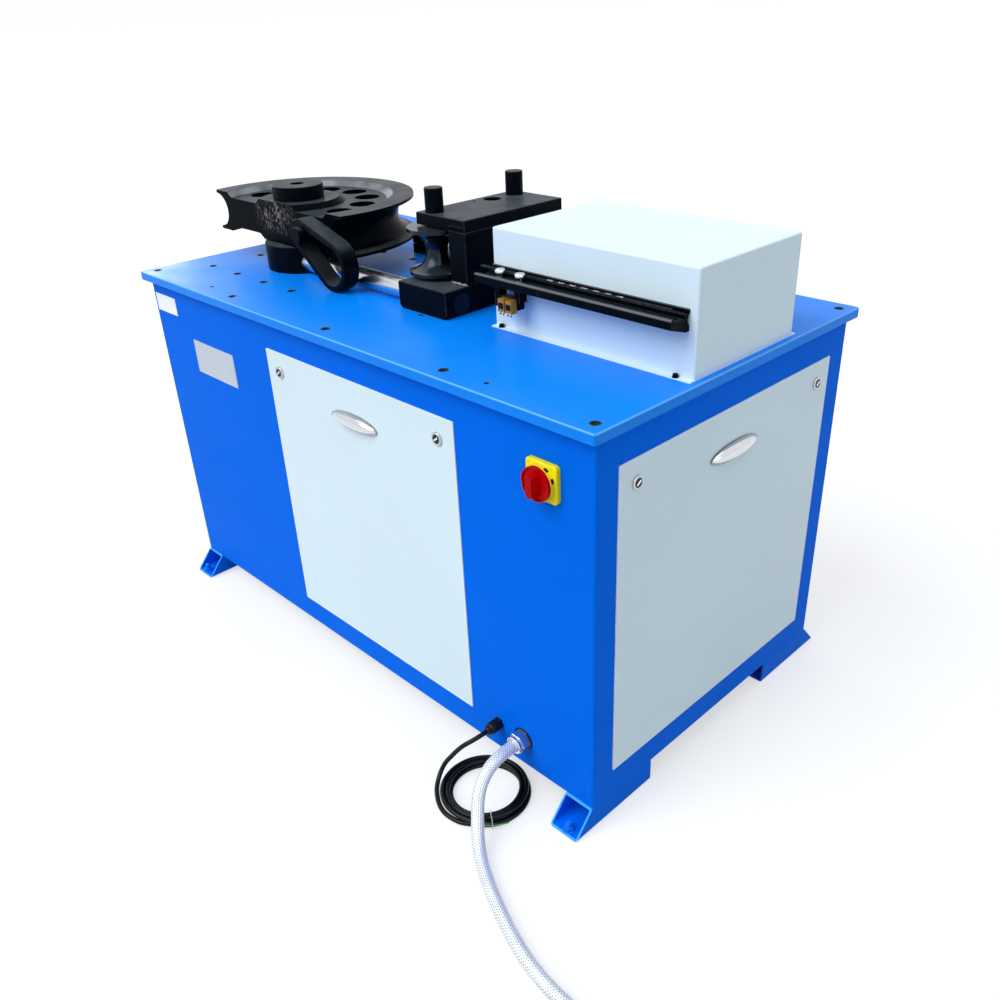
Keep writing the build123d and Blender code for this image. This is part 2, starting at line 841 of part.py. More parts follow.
# Carriage base on the guide rods, with a raised seat and a pocket for each roller pin
roller_x = carriage_left + roller_inset
roller_places = [(roller_x, die_y), (roller_x, roller_back_y)]
base_z = table_top + base_top
base_middle_y = (base_front + base_back) / 2
carriage_middle = carriage_left + carriage_length / 2
with BuildPart() as carriage_base:
    with BuildSketch(Plane.XY.offset(table_top + base_lift)):
        with Locations((carriage_middle, base_middle_y)):
            Rectangle(carriage_length, base_back - base_front)
    extrude(amount=base_top - base_lift)
    chamfer(carriage_base.faces().sort_by(Axis.Z)[0].edges().filter_by(Axis.Y), base_chamfer)
    chamfer(carriage_base.faces().sort_by(Axis.Z)[-1].edges(), plate_edge)
    with BuildSketch(Plane.XY.offset(base_z)):
        with Locations(*roller_places):
            Circle(roller_seat_radius)
    extrude(amount=die_low - base_z - slip_gap)
    with BuildSketch(Plane.XY.offset(base_z - pin_seat)):
        with Locations(*roller_places):
            Circle(pin_radius + running_gap)
    extrude(amount=die_low - base_z + pin_seat, mode=Mode.SUBTRACT)
    with BuildSketch(Plane.YZ.offset(carriage_left)):
        with Locations((rod_front_y, rod_z), (rod_back_y, rod_z)):
            Circle(rod_radius + running_gap)
    extrude(amount=carriage_length, mode=Mode.SUBTRACT)
carriage_base.part.label = "carriage_base"
export_step(carriage_base.part, "parts/carriage_base.step")

# Carriage column, with the screwed seat of the piston rod
plate_low = die_high + roller_play
cylinder_z = table_top + cylinder_height
column_middle_y = (column_front + column_back) / 2
with BuildPart() as carriage_column:
    with BuildSketch(Plane.XY.offset(base_z)):
        with Locations((carriage_right - column_thickness / 2, column_middle_y)):
            Rectangle(column_thickness, column_back - column_front)
    extrude(amount=plate_low - base_z)
    chamfer(carriage_column.edges().filter_by(Axis.Z), plate_edge)
    with BuildSketch(Plane.YZ.offset(carriage_right)):
        with Locations((cylinder_y, cylinder_z)):
            Circle(rod_spigot_radius + running_gap)
    extrude(amount=-rod_spigot, mode=Mode.SUBTRACT)
carriage_column.part.label = "carriage_column"
export_step(carriage_column.part, "parts/carriage_column.step")

# Carriage top plate with the pin bores, a spare bore and a small hole
with BuildPart() as carriage_plate:
    with BuildSketch(Plane.XY.offset(plate_low)):
        with Locations((carriage_middle, column_middle_y)):
            Rectangle(carriage_length, column_back - column_front)
    extrude(amount=plate_thickness)
    chamfer(carriage_plate.edges(), plate_edge)
    with BuildSketch(Plane.XY.offset(plate_low)):
        with Locations(*roller_places, (roller_x, spare_bore_y)):
            Circle(pin_radius + running_gap)
        with Locations((carriage_left + plate_hole_inset, plate_hole_y)):
            Circle(plate_hole / 2)
    extrude(amount=plate_thickness, mode=Mode.SUBTRACT)
carriage_plate.part.label = "carriage_plate"
export_step(carriage_plate.part, "parts/carriage_plate.step")


# Grooved roller that runs on a pin
def make_roller(x, y):
    groove_middle = roller_neck + groove_radius
    tip = math.sqrt(groove_radius ** 2 - (groove_middle - roller_radius) ** 2)
    bore = pin_radius + running_gap
    with BuildPart() as roller:
        with BuildSketch(Plane.XZ.offset(-y)):
            with BuildLine():
                Polyline((x + roller_radius, bend_z - tip),
                         (x + roller_radius, die_low),
                         (x + bore, die_low),
                         (x + bore, die_high),
                         (x + roller_radius, die_high),
                         (x + roller_radius, bend_z + tip))
                ThreePointArc((x + roller_radius, bend_z + tip),
                              (x + roller_neck, bend_z),
                              (x + roller_radius, bend_z - tip))
            make_face()
        revolve(axis=Axis((x, y, 0), (0, 0, 1)))
    return roller.part


# Roller pin through the top plate and the roller into the base's pocket
def make_roller_pin(x, y):
    pin_low = base_z - pin_seat + seat_gap
    with BuildPart() as pin:
        with BuildSketch(Plane.XY.offset(pin_low)):
            with Locations((x, y)):
                Circle(pin_radius)
        extrude(amount=plate_low + plate_thickness + pin_stand - pin_low)
        chamfer(pin.faces().sort_by(Axis.Z)[-1].edges(), pin_chamfer)
    return pin.part


for place_name, (x, y) in zip(("front", "back"), roller_places):
    roller = make_roller(x, y)
    roller.label = f"roller_{place_name}"
    export_step(roller, f"parts/roller_{place_name}.step")
    roller_pin = make_roller_pin(x, y)
    roller_pin.label = f"roller_pin_{place_name}"
    export_step(roller_pin, f"parts/roller_pin_{place_name}.step")

# Hydraulic cylinder: barrel with head, end cap, two feet on the table and two ports
cylinder_radius = cylinder_bore + cylinder_wall
cylinder_right = cylinder_left + cylinder_length
barrel_left = cylinder_left + cylinder_head
barrel_right = cylinder_right - cylinder_cap
with BuildPart() as cylinder_barrel:
    with BuildSketch(Plane.YZ.offset(cylinder_left)):
        with Locations((cylinder_y, cylinder_z)):
            Circle(cylinder_radius)
    extrude(amount=cylinder_length)
    for foot_left, foot_thickness in ((cylinder_left, cylinder_head), (barrel_right, cylinder_cap)):
        with BuildSketch(Plane.YZ.offset(foot_left)):
            with Locations((cylinder_y, table_top + cylinder_height / 2)):
                Rectangle(cylinder_foot_width, cylinder_height)
        extrude(amount=foot_thickness)
    with BuildSketch(Plane.YZ.offset(barrel_left)):
        with Locations((cylinder_y, cylinder_z)):
            Circle(cylinder_bore)
    extrude(amount=barrel_right - barrel_left, mode=Mode.SUBTRACT)
    with BuildSketch(Plane.YZ.offset(cylinder_left)):
        with Locations((cylinder_y, cylinder_z)):
            Circle(piston_rod_radius + running_gap)
    extrude(amount=cylinder_head, mode=Mode.SUBTRACT)
    with BuildSketch(Plane.XY.offset(cylinder_z)):
        with Locations((barrel_left + port_inset, cylinder_y),
                       (barrel_right - port_inset, cylinder_y)):
            Circle(port_radius)
    extrude(amount=cylinder_radius, mode=Mode.SUBTRACT)
cylinder_barrel.part.label = "cylinder_barrel"
export_step(cylinder_barrel.part, "parts/cylinder_barrel.step")

piston_left = piston_middle - piston_width / 2
with BuildPart() as piston:
    with BuildSketch(Plane.YZ.offset(piston_left)):
        with Locations((cylinder_y, cylinder_z)):
            Circle(cylinder_bore - running_gap)
            Circle(rod_spigot_radius + running_gap, mode=Mode.SUBTRACT)
    extrude(amount=piston_width)
piston.part.label = "piston"
export_step(piston.part, "parts/piston.step")

with BuildPart() as piston_rod:
    with BuildSketch(Plane.YZ.offset(carriage_right)):
        with Locations((cylinder_y, cylinder_z)):
            Circle(piston_rod_radius)
    extrude(amount=piston_left - carriage_right)
    with BuildSketch(Plane.YZ.offset(carriage_right - rod_spigot + seat_gap)):
        with Locations((cylinder_y, cylinder_z)):
            Circle(rod_spigot_radius)
    extrude(amount=piston_left + piston_width - carriage_right + rod_spigot - seat_gap)
piston_rod.part.label = "piston_rod"
export_step(piston_rod.part, "parts/piston_rod.step")

# Cover of folded sheet over the cylinder, open below, with a flange along its front and its back
cover_width = cover_back - cover_front
cover_middle = ((cover_left + cover_right) / 2, (cover_front + cover_back) / 2)
with BuildPart() as cylinder_cover:
    with BuildSketch(Plane.XY.offset(table_top)):
        with Locations(cover_middle):
            RectangleRounded(cover_length, cover_width, cover_corner)
    extrude(amount=cover_height)
    fillet(cylinder_cover.faces().sort_by(Axis.Z)[-1].edges(), cover_corner)
    with BuildSketch(Plane.XY.offset(table_top)):
        with Locations(cover_middle):
            Rectangle(cover_length, cover_width + 2 * cover_flange)
    extrude(amount=cover_sheet)
    with BuildSketch(Plane.XY.offset(table_top)):
        with Locations(cover_middle):
            RectangleRounded(cover_length - 2 * cover_sheet, cover_width - 2 * cover_sheet,
                             cover_corner - cover_sheet)
    extrude(amount=cover_height - cover_sheet, mode=Mode.SUBTRACT)
    with BuildSketch(Plane.YZ.offset(cover_left)):
        with Locations((cylinder_y, cylinder_z)):
            Circle(cover_rod_hole)
    extrude(amount=cover_sheet, mode=Mode.SUBTRACT)
cylinder_cover.part.label = "cylinder_cover"
export_step(cylinder_cover.part, "parts/cylinder_cover.step")

# Scale rail: an extrusion with a sloping underside, a hollow back, a lip, and a slot in its channel
rail_front_y = cover_front - rail_depth
rail_low_z = table_top + rail_front_low
rail_high_z = table_top + rail_front_high
rail_lobe_z = table_top + rail_lobe_low
rail_lip_z = table_top + rail_lip_high
channel_z = rail_high_z - channel_depth
slot_y = rail_front_y + slot_behind_front
slot_length = rail_length - 2 * slot_end
rail_middle = rail_left + rail_length / 2
with BuildPart() as scale_rail:
    with BuildSketch(Plane.YZ.offset(rail_left)):
        with BuildLine():
            Polyline((rail_front_y, rail_low_z),
                     (rail_front_y, rail_high_z),
                     (cover_front - rail_lip_width, rail_high_z),
                     (cover_front - rail_lip_width, rail_lip_z),
                     (cover_front, rail_lip_z),
                     (cover_front, rail_lobe_z),
                     (cover_front - rail_lobe_width, rail_lobe_z),
                     close=True)
        make_face()
        with Locations((cover_front + rail_hollow_radius / 2, table_top + rail_hollow_height)):
            Circle(rail_hollow_radius, mode=Mode.SUBTRACT)
        with Locations((rail_front_y + channel_behind_front + channel_width / 2,
                        rail_high_z - channel_depth / 2)):
            Rectangle(channel_width, channel_depth, mode=Mode.SUBTRACT)
    extrude(amount=rail_length)
    fillet(scale_rail.edges().filter_by(Axis.X).group_by(Axis.Y)[0], rail_round)
    with BuildSketch(Plane.XY.offset(rail_lobe_z)):
        with Locations((rail_middle, slot_y)):
            SlotOverall(slot_length, slot_width)
    extrude(amount=rail_lip_z - rail_lobe_z, mode=Mode.SUBTRACT)
scale_rail.part.label = "scale_rail"
export_step(scale_rail.part, "parts/scale_rail.step")

# Switch holders: blocks that hang under the rail's slope on their thumb screws, each with an arm
# that carries its limit switch in front
under_slope = (rail_front_low - rail_lobe_low) / (rail_depth - rail_lobe_width)
holder_front = slot_y - holder_depth / 2
holder_back = slot_y + holder_depth / 2
switch_front_y = holder_front - switch_depth
switch_middle_y = holder_front - switch_depth / 2
switch_low_z = table_top + switch_high - switch_tall


def under_rail(y):
    """Height of the rail's underside, less the sliding gap."""
    return rail_low_z - (y - rail_front_y) * under_slope - 2 * slip_gap


def make_holder(x, switch_x):
    arm_start = min(x - holder_width / 2, switch_x - switch_width / 2)
    arm_end = max(x, switch_x + switch_width / 2)
    with BuildPart() as holder:
        with BuildSketch(Plane.YZ.offset(x - holder_width / 2)):
            Polygon((holder_front, table_top + holder_low), (holder_back, table_top + holder_low),
                    (holder_back, under_rail(holder_back)), (holder_front, under_rail(holder_front)),
                    align=None)
        extrude(amount=holder_width)
        with BuildSketch(Plane.XY.offset(table_top + arm_low)):
            with Locations(((arm_start + arm_end) / 2, slot_y)):
                Rectangle(arm_end - arm_start, holder_depth)
        extrude(amount=arm_high - arm_low)
        with BuildSketch(Plane.XY.offset(table_top + holder_low)):
            with Locations((x, slot_y)):
                Circle(thumb_shank_radius + running_gap)
        extrude(amount=rail_front_high, mode=Mode.SUBTRACT)
    return holder.part


# Limit switch with a window in its front and a plunger bore in its left side
def make_limit_switch(x):
    with BuildPart() as limit_switch:
        with BuildSketch(Plane.XY.offset(switch_low_z)):
            with Locations((x, switch_middle_y)):
                Rectangle(switch_width, switch_depth)
        extrude(amount=switch_tall)
        with BuildSketch(Plane.XZ.offset(-switch_front_y)):
            with Locations((x, switch_low_z + switch_tall / 2)):
                Rectangle(switch_window_width, switch_window_height)
        extrude(amount=-switch_window_depth, mode=Mode.SUBTRACT)
        with BuildSketch(Plane.YZ.offset(x - switch_width / 2)):
            with Locations((switch_middle_y + switch_window_depth, switch_low_z + switch_tall / 2)):
                Circle(plunger_radius + running_gap)
        extrude(amount=plunger_length, mode=Mode.SUBTRACT)
    return limit_switch.part


def make_plunger(x):
    with BuildPart() as plunger:
        with BuildSketch(Plane.YZ.offset(x - switch_width / 2 - plunger_stand)):
            with Locations((switch_middle_y + switch_window_depth, switch_low_z + switch_tall / 2)):
                Circle(plunger_radius)
        extrude(amount=plunger_length - seat_gap)
        chamfer(plunger.faces().sort_by(Axis.X)[0].edges(), plunger_edge)
    return plunger.part


# Thumb screw: flat head and collar in the rail's channel, shank through its slot into the holder
def make_thumb_screw(x):
    head_low = channel_z + thumb_stand
    with BuildPart() as thumb_screw:
        with BuildSketch(Plane.XY.offset(table_top + holder_low)):
            with Locations((x, slot_y)):
                Circle(thumb_shank_radius)
        extrude(amount=head_low - table_top - holder_low)
        with BuildSketch(Plane.XY.offset(channel_z + slip_gap)):
            with Locations((x, slot_y)):
                Circle(thumb_collar_radius)
        extrude(amount=thumb_stand - slip_gap)
        with BuildSketch(Plane.XY.offset(head_low)):
            with Locations((x, slot_y)):
                Circle(thumb_radius)
        extrude(amount=thumb_height)
        chamfer(thumb_screw.edges().filter_by(GeomType.CIRCLE).group_by(SortBy.RADIUS)[-1],
                pin_chamfer)
    return thumb_screw.part


switch_sets = [
    ("left", rail_left + left_holder_along, cover_left + left_switch_along),
    ("right", rail_left + right_holder_along, cover_left + right_switch_along),
]
for set_name, holder_x, limit_x in switch_sets:
    pieces = [
        ("switch_holder", make_holder(holder_x, limit_x)),
        ("limit_switch", make_limit_switch(limit_x)),
        ("switch_plunger", make_plunger(limit_x)),
        ("thumb_screw", make_thumb_screw(holder_x)),
    ]
    for piece_name, piece in pieces:
        piece.label = f"{piece_name}_{set_name}"
        export_step(piece, f"parts/{piece_name}_{set_name}.step")

# Drive gearbox bolted under the table, with a worm housing at its side
flange_low = cabinet_top - gearbox_flange_thickness
gearbox_low = flange_low - gearbox_height
with BuildPart() as drive_gearbox:
    with BuildSketch(Plane.XY.offset(flange_low)):
        with Locations((die_x, die_y + (drive_hole_back - drive_hole_front) / 2)):
            RectangleRounded(gearbox_flange_width, gearbox_flange_width, gearbox_flange_corner)
        with Locations(*drive_holes):
            Circle(bolt_hole / 2, mode=Mode.SUBTRACT)
    extrude(amount=gearbox_flange_thickness)
    with BuildSketch(Plane.XY.offset(gearbox_low)):
        with Locations((die_x, die_y)):
            Circle(gearbox_radius)
    extrude(amount=gearbox_height)
    with BuildSketch(Plane.YZ.offset(die_x - worm_length / 2)):
        with Locations((die_y + worm_offset, flange_low - worm_drop)):
            Circle(worm_radius)
    extrude(amount=worm_length)
    with BuildSketch(Plane.XY.offset(cabinet_top)):
        with Locations((die_x, die_y)):
            Circle(shaft_radius + running_gap)
    extrude(amount=-shaft_depth - seat_gap, mode=Mode.SUBTRACT)
drive_gearbox.part.label = "drive_gearbox"
export_step(drive_gearbox.part, "parts/drive_gearbox.step")


# Finned electric motor, standing on a plane with its axis along the plane's normal
def make_motor(base, radius, length, flange_radius, flange_thickness):
    with BuildPart() as motor:
        with BuildSketch(base):
            Circle(flange_radius)
        extrude(amount=flange_thickness)
        with BuildSketch(base):
            Circle(radius - motor_fin)
            with PolarLocations(radius - motor_fin, motor_fin_count):
                Rectangle(2 * motor_fin, motor_fin_thickness)
        extrude(amount=length)
        with BuildSketch(base.offset(length)):
            Circle(radius)
        extrude(amount=motor_cowl)
        fillet(motor.edges().filter_by(GeomType.CIRCLE).sort_by(Axis(base.origin, base.z_dir))[-1],
               motor_fin)
    return motor.part


worm_end = Plane(origin=(die_x - worm_length / 2 + worm_length, die_y + worm_offset,
                         flange_low - worm_drop), x_dir=(0, 1, 0), z_dir=(1, 0, 0))
drive_motor = make_motor(worm_end, drive_motor_radius, drive_motor_length,
                         drive_motor_radius + motor_fin, motor_fin)
drive_motor.label = "drive_motor"
export_step(drive_motor, "parts/drive_motor.step")

# Oil tank on the cabinet's floor, hollow, with a filler cap on its lid
tank_low = cabinet_bottom + cabinet_wall
tank_top = tank_low + tank_height
tank_left = end_x - cabinet_wall - tank_end_gap - tank_length
tank_middle = tank_left + tank_length / 2
with BuildPart() as oil_tank:
    with BuildSketch(Plane.XY.offset(tank_low)):
        with Locations((tank_middle, 0)):
            RectangleRounded(tank_length, tank_width, tank_fillet)
    extrude(amount=tank_height)
    with BuildSketch(Plane.XY.offset(tank_low + tank_wall)):
        with Locations((tank_middle, 0)):
            Rectangle(tank_length - 2 * tank_fillet, tank_width - 2 * tank_fillet)
    extrude(amount=tank_height - 2 * tank_wall, mode=Mode.SUBTRACT)
    with BuildSketch(Plane.XY.offset(tank_top)):
        with Locations((tank_left + filler_inset, tank_width / 2 - filler_inset)):
            Circle(filler_radius)
    extrude(amount=filler_height)
oil_tank.part.label = "oil_tank"
export_step(oil_tank.part, "parts/oil_tank.step")

pump_base = Plane(origin=(tank_left + pump_motor_along, pump_motor_y, tank_top), z_dir=(0, 0, 1))
pump_motor = make_motor(pump_base, pump_motor_radius, pump_motor_length,
                        pump_flange_radius, pump_flange_thickness)
pump_motor.label = "pump_motor"
export_step(pump_motor, "parts/pump_motor.step")

# Valve block on the tank, with a solenoid at each end
valve_x = tank_left + valve_along
with BuildPart() as valve_block:
    with BuildSketch(Plane.XY.offset(tank_top)):
        with Locations((valve_x, valve_y)):
            Rectangle(valve_length, valve_width)
    extrude(amount=valve_height)
    with BuildSketch(Plane.XZ.offset(-valve_y - valve_width / 2 - solenoid_length)):
        with Locations((valve_x, tank_top + valve_height / 2)):
            Circle(solenoid_radius)
    extrude(amount=valve_width + 2 * solenoid_length)
valve_block.part.label = "valve_block"
export_step(valve_block.part, "parts/valve_block.step")

# Cable gland through the front wall, with a domed nut outside and a lock nut inside
gland_face = front_plane(gland_x, gland_z)
with BuildPart() as cable_gland:
    with BuildSketch(gland_face):
        RegularPolygon(gland_flats / 2, 6, major_radius=False)
    extrude(amount=gland_hex)
    with BuildSketch(gland_face.offset(gland_hex)):
        Circle(gland_dome_radius)
    extrude(amount=gland_length - gland_hex)
    fillet(cable_gland.faces().sort_by(Axis.Y)[0].edges(), gland_dome_round)
    with BuildSketch(gland_face):
        Circle(gland_dome_radius - running_gap)
    extrude(amount=-cabinet_wall - gland_nut)
    with BuildSketch(gland_face.offset(-cabinet_wall)):
        RegularPolygon(gland_flats / 2, 6, major_radius=False)
    extrude(amount=-gland_nut)
cable_gland.part.label = "cable_gland"
export_step(cable_gland.part, "parts/cable_gland.step")

# Hose fitting: hexagon on the wall, crimped sleeve on the hose's end
fitting_face = front_plane(fitting_x, fitting_z)
with BuildPart() as hose_fitting:
    with BuildSketch(fitting_face):
        RegularPolygon(fitting_flats / 2, 6, major_radius=False)
    extrude(amount=fitting_hex)
    chamfer(hose_fitting.faces().sort_by(Axis.Y)[0].edges(), fitting_edge)
    with BuildSketch(fitting_face.offset(fitting_hex)):
        Circle(fitting_sleeve_radius)
    extrude(amount=fitting_length - fitting_hex)
    with BuildSketch(fitting_face):
        Circle(fitting_sleeve_radius - running_gap)
    extrude(amount=-cabinet_wall - gland_nut)
hose_fitting.part.label = "hose_fitting"
export_step(hose_fitting.part, "parts/hose_fitting.step")


# Cords. A coil winds in on the floor, climbs a layer in the half turn where the spiral reverses and
# winds out again. Its stations are a quarter turn apart, and two tangent arcs join each pair.
def coil_stations(first, radius, low, step, start, turn_sign, quarters_in, quarters):
    stations = []
    first_way = math.radians(start)
    middle = (first[0] - radius * math.cos(first_way), first[1] - radius * math.sin(first_way))
    for quarter in range(quarters + 1):
        past = quarter - quarters_in
        angle = math.radians(start + turn_sign * 90 * quarter)
        outward = Vector(math.cos(angle), math.sin(angle), 0)
        around = Vector(-math.sin(angle), math.cos(angle), 0) * turn_sign
        reach = radius - step * (quarters_in - abs(past)) / 4
        drift = step / (2 * math.pi * reach)
        climb = climb_slope * step / (math.pi * reach) if past == 0 else 0
        height = low + step * min(max((past + 1) / 2, 0), 1)
        side = (past > 0) - (past < 0)
        place = Vector(middle[0], middle[1], height) + outward * reach
        heading = (around + outward * (side * drift) + Vector(0, 0, climb)).normalized()
        stations.append((place, heading))
    return stations


def arc_meeting(here, heading, there, next_heading):
    """Where two arcs, tangent to both headings, meet with a common tangent."""
    across = there - here
    both = across.dot(heading + next_heading)
    spread = 2 * (1 - heading.dot(next_heading))
    reach = (math.sqrt(both ** 2 + spread * across.dot(across)) - both) / spread
    return (here + there + (heading - next_heading) * reach) * 0.5


def make_coil(stations, tube_radius):
    tail = 2 * tube_radius
    with BuildPart() as coil:
        with BuildLine() as path:
            first, heading = stations[0]
            Line(first - heading * tail, first)
            for (here, heading), (there, next_heading) in zip(stations, stations[1:]):
                meeting = arc_meeting(here, heading, there, next_heading)
                first_arc = TangentArc(here, meeting, tangent=heading)
                TangentArc(meeting, there, tangent=first_arc % 1)
            last, heading = stations[-1]
            Line(last, last + heading * tail)
        wire = path.wire()
        with BuildSketch(Plane(origin=wire @ 0, z_dir=wire % 0)):
            Circle(tube_radius)
        sweep(path=wire)
    samples = 30 * len(stations)
    points = [wire @ (i / samples) for i in range(samples + 1)]
    half_turn = 60
    least = min((points[i] - points[j]).length
                for i in range(samples + 1) for j in range(i + half_turn, samples + 1))
    print("coil least gap", round(least - 2 * tube_radius, 2), "length", round(wire.length),
          "volume", round(coil.part.volume),
          "section by length", round(math.pi * tube_radius ** 2 * wire.length))
    return coil.part


def bend_radii(points):
    """Radius of each corner: as large as the shorter run beside it allows."""
    radii = []
    for before, here, after in zip(points, points[1:], points[2:]):
        run_in = here - before
        run_out = after - here
        half_turn = math.radians(run_in.get_angle(run_out)) / 2
        radii.append(corner_share * min(run_in.length, run_out.length) / math.tan(half_turn))
    return radii


def make_cord(points, tube_radius):
    radii = bend_radii(points)
    with BuildPart() as cord:
        with BuildLine() as path:
            FilletPolyline(*points, radius=radii)
        wire = path.wire()
        with BuildSketch(Plane(origin=wire @ 0, z_dir=wire % 0)):
            Circle(tube_radius)
        sweep(path=wire)
    print("cord radii", [round(radius) for radius in radii], "volume", round(cord.part.volume),
          "section by length", round(math.pi * tube_radius ** 2 * wire.length))
    return cord.part


def join_route(route, exit_x, exit_z, stations, tube_radius, last_run):
    """Points of a cord from its fitting to its coil's first end, along the coil's own heading."""
    low = tube_radius + cord_lift
    first, heading = stations[0]
    coil_end = first - heading * (2 * tube_radius)
    points = [Vector(exit_x + along, front_y - out, low + (exit_z - low) * share)
              for along, out, share in route]
    return points + [coil_end - heading * last_run, coil_end]


lead_stations = coil_stations((gland_x + lead_coil_along, front_y - lead_coil_out), lead_coil_radius,
                              lead_radius + cord_lift, 2 * lead_radius + lead_coil_gap,
                              lead_coil_start, 1, lead_quarters_in, lead_quarters)
hose_stations = coil_stations((fitting_x + hose_coil_along, front_y - hose_coil_out), hose_coil_radius,
                              hose_radius + cord_lift, 2 * hose_radius + hose_coil_gap,
                              hose_coil_start, -1, hose_quarters_in, hose_quarters)

mains_cable = make_cord(join_route(lead_route, gland_x, gland_z, lead_stations, lead_radius,
                                   lead_last_run), lead_radius)
mains_cable.label = "mains_cable"
export_step(mains_cable, "parts/mains_cable.step")
mains_coil = make_coil(lead_stations, lead_radius)
mains_coil.label = "mains_coil"
export_step(mains_coil, "parts/mains_coil.step")
hose = make_cord(join_route(hose_route, fitting_x, fitting_z, hose_stations, hose_radius,
                            hose_last_run), hose_radius)
hose.label = "hose"
export_step(hose, "parts/hose.step")
hose_coil = make_coil(hose_stations, hose_radius)
hose_coil.label = "hose_coil"
export_step(hose_coil, "parts/hose_coil.step")

# Connector on the hose's far end
hose_end, hose_end_heading = hose_stations[-1]
connector_plane = Plane(origin=hose_end + hose_end_heading * (2 * hose_radius + seat_gap),
                        z_dir=hose_end_heading)
with BuildPart() as hose_connector:
    with BuildSketch(connector_plane):
        Circle(connector_radius)
    extrude(amount=connector_length)
    chamfer(hose_connector.edges().filter_by(GeomType.CIRCLE), pin_chamfer)
hose_connector.part.label = "hose_connector"
export_step(hose_connector.part, "parts/hose_connector.step")
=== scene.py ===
import json
import math

import bmesh
import bpy
from mathutils import Matrix, Vector


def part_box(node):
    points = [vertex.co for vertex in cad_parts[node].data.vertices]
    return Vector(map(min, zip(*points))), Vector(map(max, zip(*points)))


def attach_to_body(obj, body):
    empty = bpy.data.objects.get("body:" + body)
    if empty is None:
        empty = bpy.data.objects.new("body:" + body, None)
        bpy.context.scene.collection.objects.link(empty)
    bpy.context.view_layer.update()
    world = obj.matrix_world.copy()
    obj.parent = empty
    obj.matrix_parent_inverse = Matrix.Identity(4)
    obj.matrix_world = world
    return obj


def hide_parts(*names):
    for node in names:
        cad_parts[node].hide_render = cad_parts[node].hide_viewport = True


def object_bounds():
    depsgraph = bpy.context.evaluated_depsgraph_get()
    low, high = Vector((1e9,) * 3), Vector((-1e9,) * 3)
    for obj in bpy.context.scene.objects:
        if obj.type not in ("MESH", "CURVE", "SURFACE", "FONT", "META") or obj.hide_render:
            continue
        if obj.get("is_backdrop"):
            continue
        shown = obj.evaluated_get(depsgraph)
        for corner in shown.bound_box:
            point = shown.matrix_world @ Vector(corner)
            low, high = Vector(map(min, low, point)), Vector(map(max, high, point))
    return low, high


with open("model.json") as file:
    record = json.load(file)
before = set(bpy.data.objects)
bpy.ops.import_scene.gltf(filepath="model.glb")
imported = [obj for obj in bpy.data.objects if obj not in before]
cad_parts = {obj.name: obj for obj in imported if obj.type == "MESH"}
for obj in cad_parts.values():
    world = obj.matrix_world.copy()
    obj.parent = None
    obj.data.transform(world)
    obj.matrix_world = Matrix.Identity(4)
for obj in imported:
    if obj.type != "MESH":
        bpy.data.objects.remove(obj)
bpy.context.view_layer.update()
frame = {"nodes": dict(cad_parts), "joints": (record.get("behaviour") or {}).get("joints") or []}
nodes = frame["nodes"]


def show(made):
    """Puts an object in the scene."""
    bpy.context.scene.collection.objects.link(made)
    return made


# Camera, at the photograph's place and with its framing
camera_data = bpy.data.cameras.new("camera")
camera_data.sensor_width = 36
camera_data.lens = 34.034
camera_data.shift_x = -0.0226
camera_data.shift_y = 0.0074
camera = show(bpy.data.objects.new("camera", camera_data))
camera_place = Vector((1.5998, -1.4079, 1.4651))
camera_right = Vector((0.711912, 0.701633, -0.029876))
camera_up = Vector((-0.321419, 0.363362, 0.874447))
camera_back = Vector((0.624397, -0.612927, 0.484200))
camera.matrix_world = Matrix.Translation(camera_place) @ Matrix(
    (camera_right, camera_up, camera_back)).transposed().to_4x4()
bpy.context.scene.camera = camera
bpy.context.scene.view_settings.view_transform = "Standard"

# Main places of the model, in metres
table_top = 0.865
table_half = (0.75, 0.415)
front_y = -0.397
die_axis = (-0.469, -0.104)
main_switch = (0.625, 0.740)
gland = (0.479, 0.120)
fitting = (0.550, 0.121)


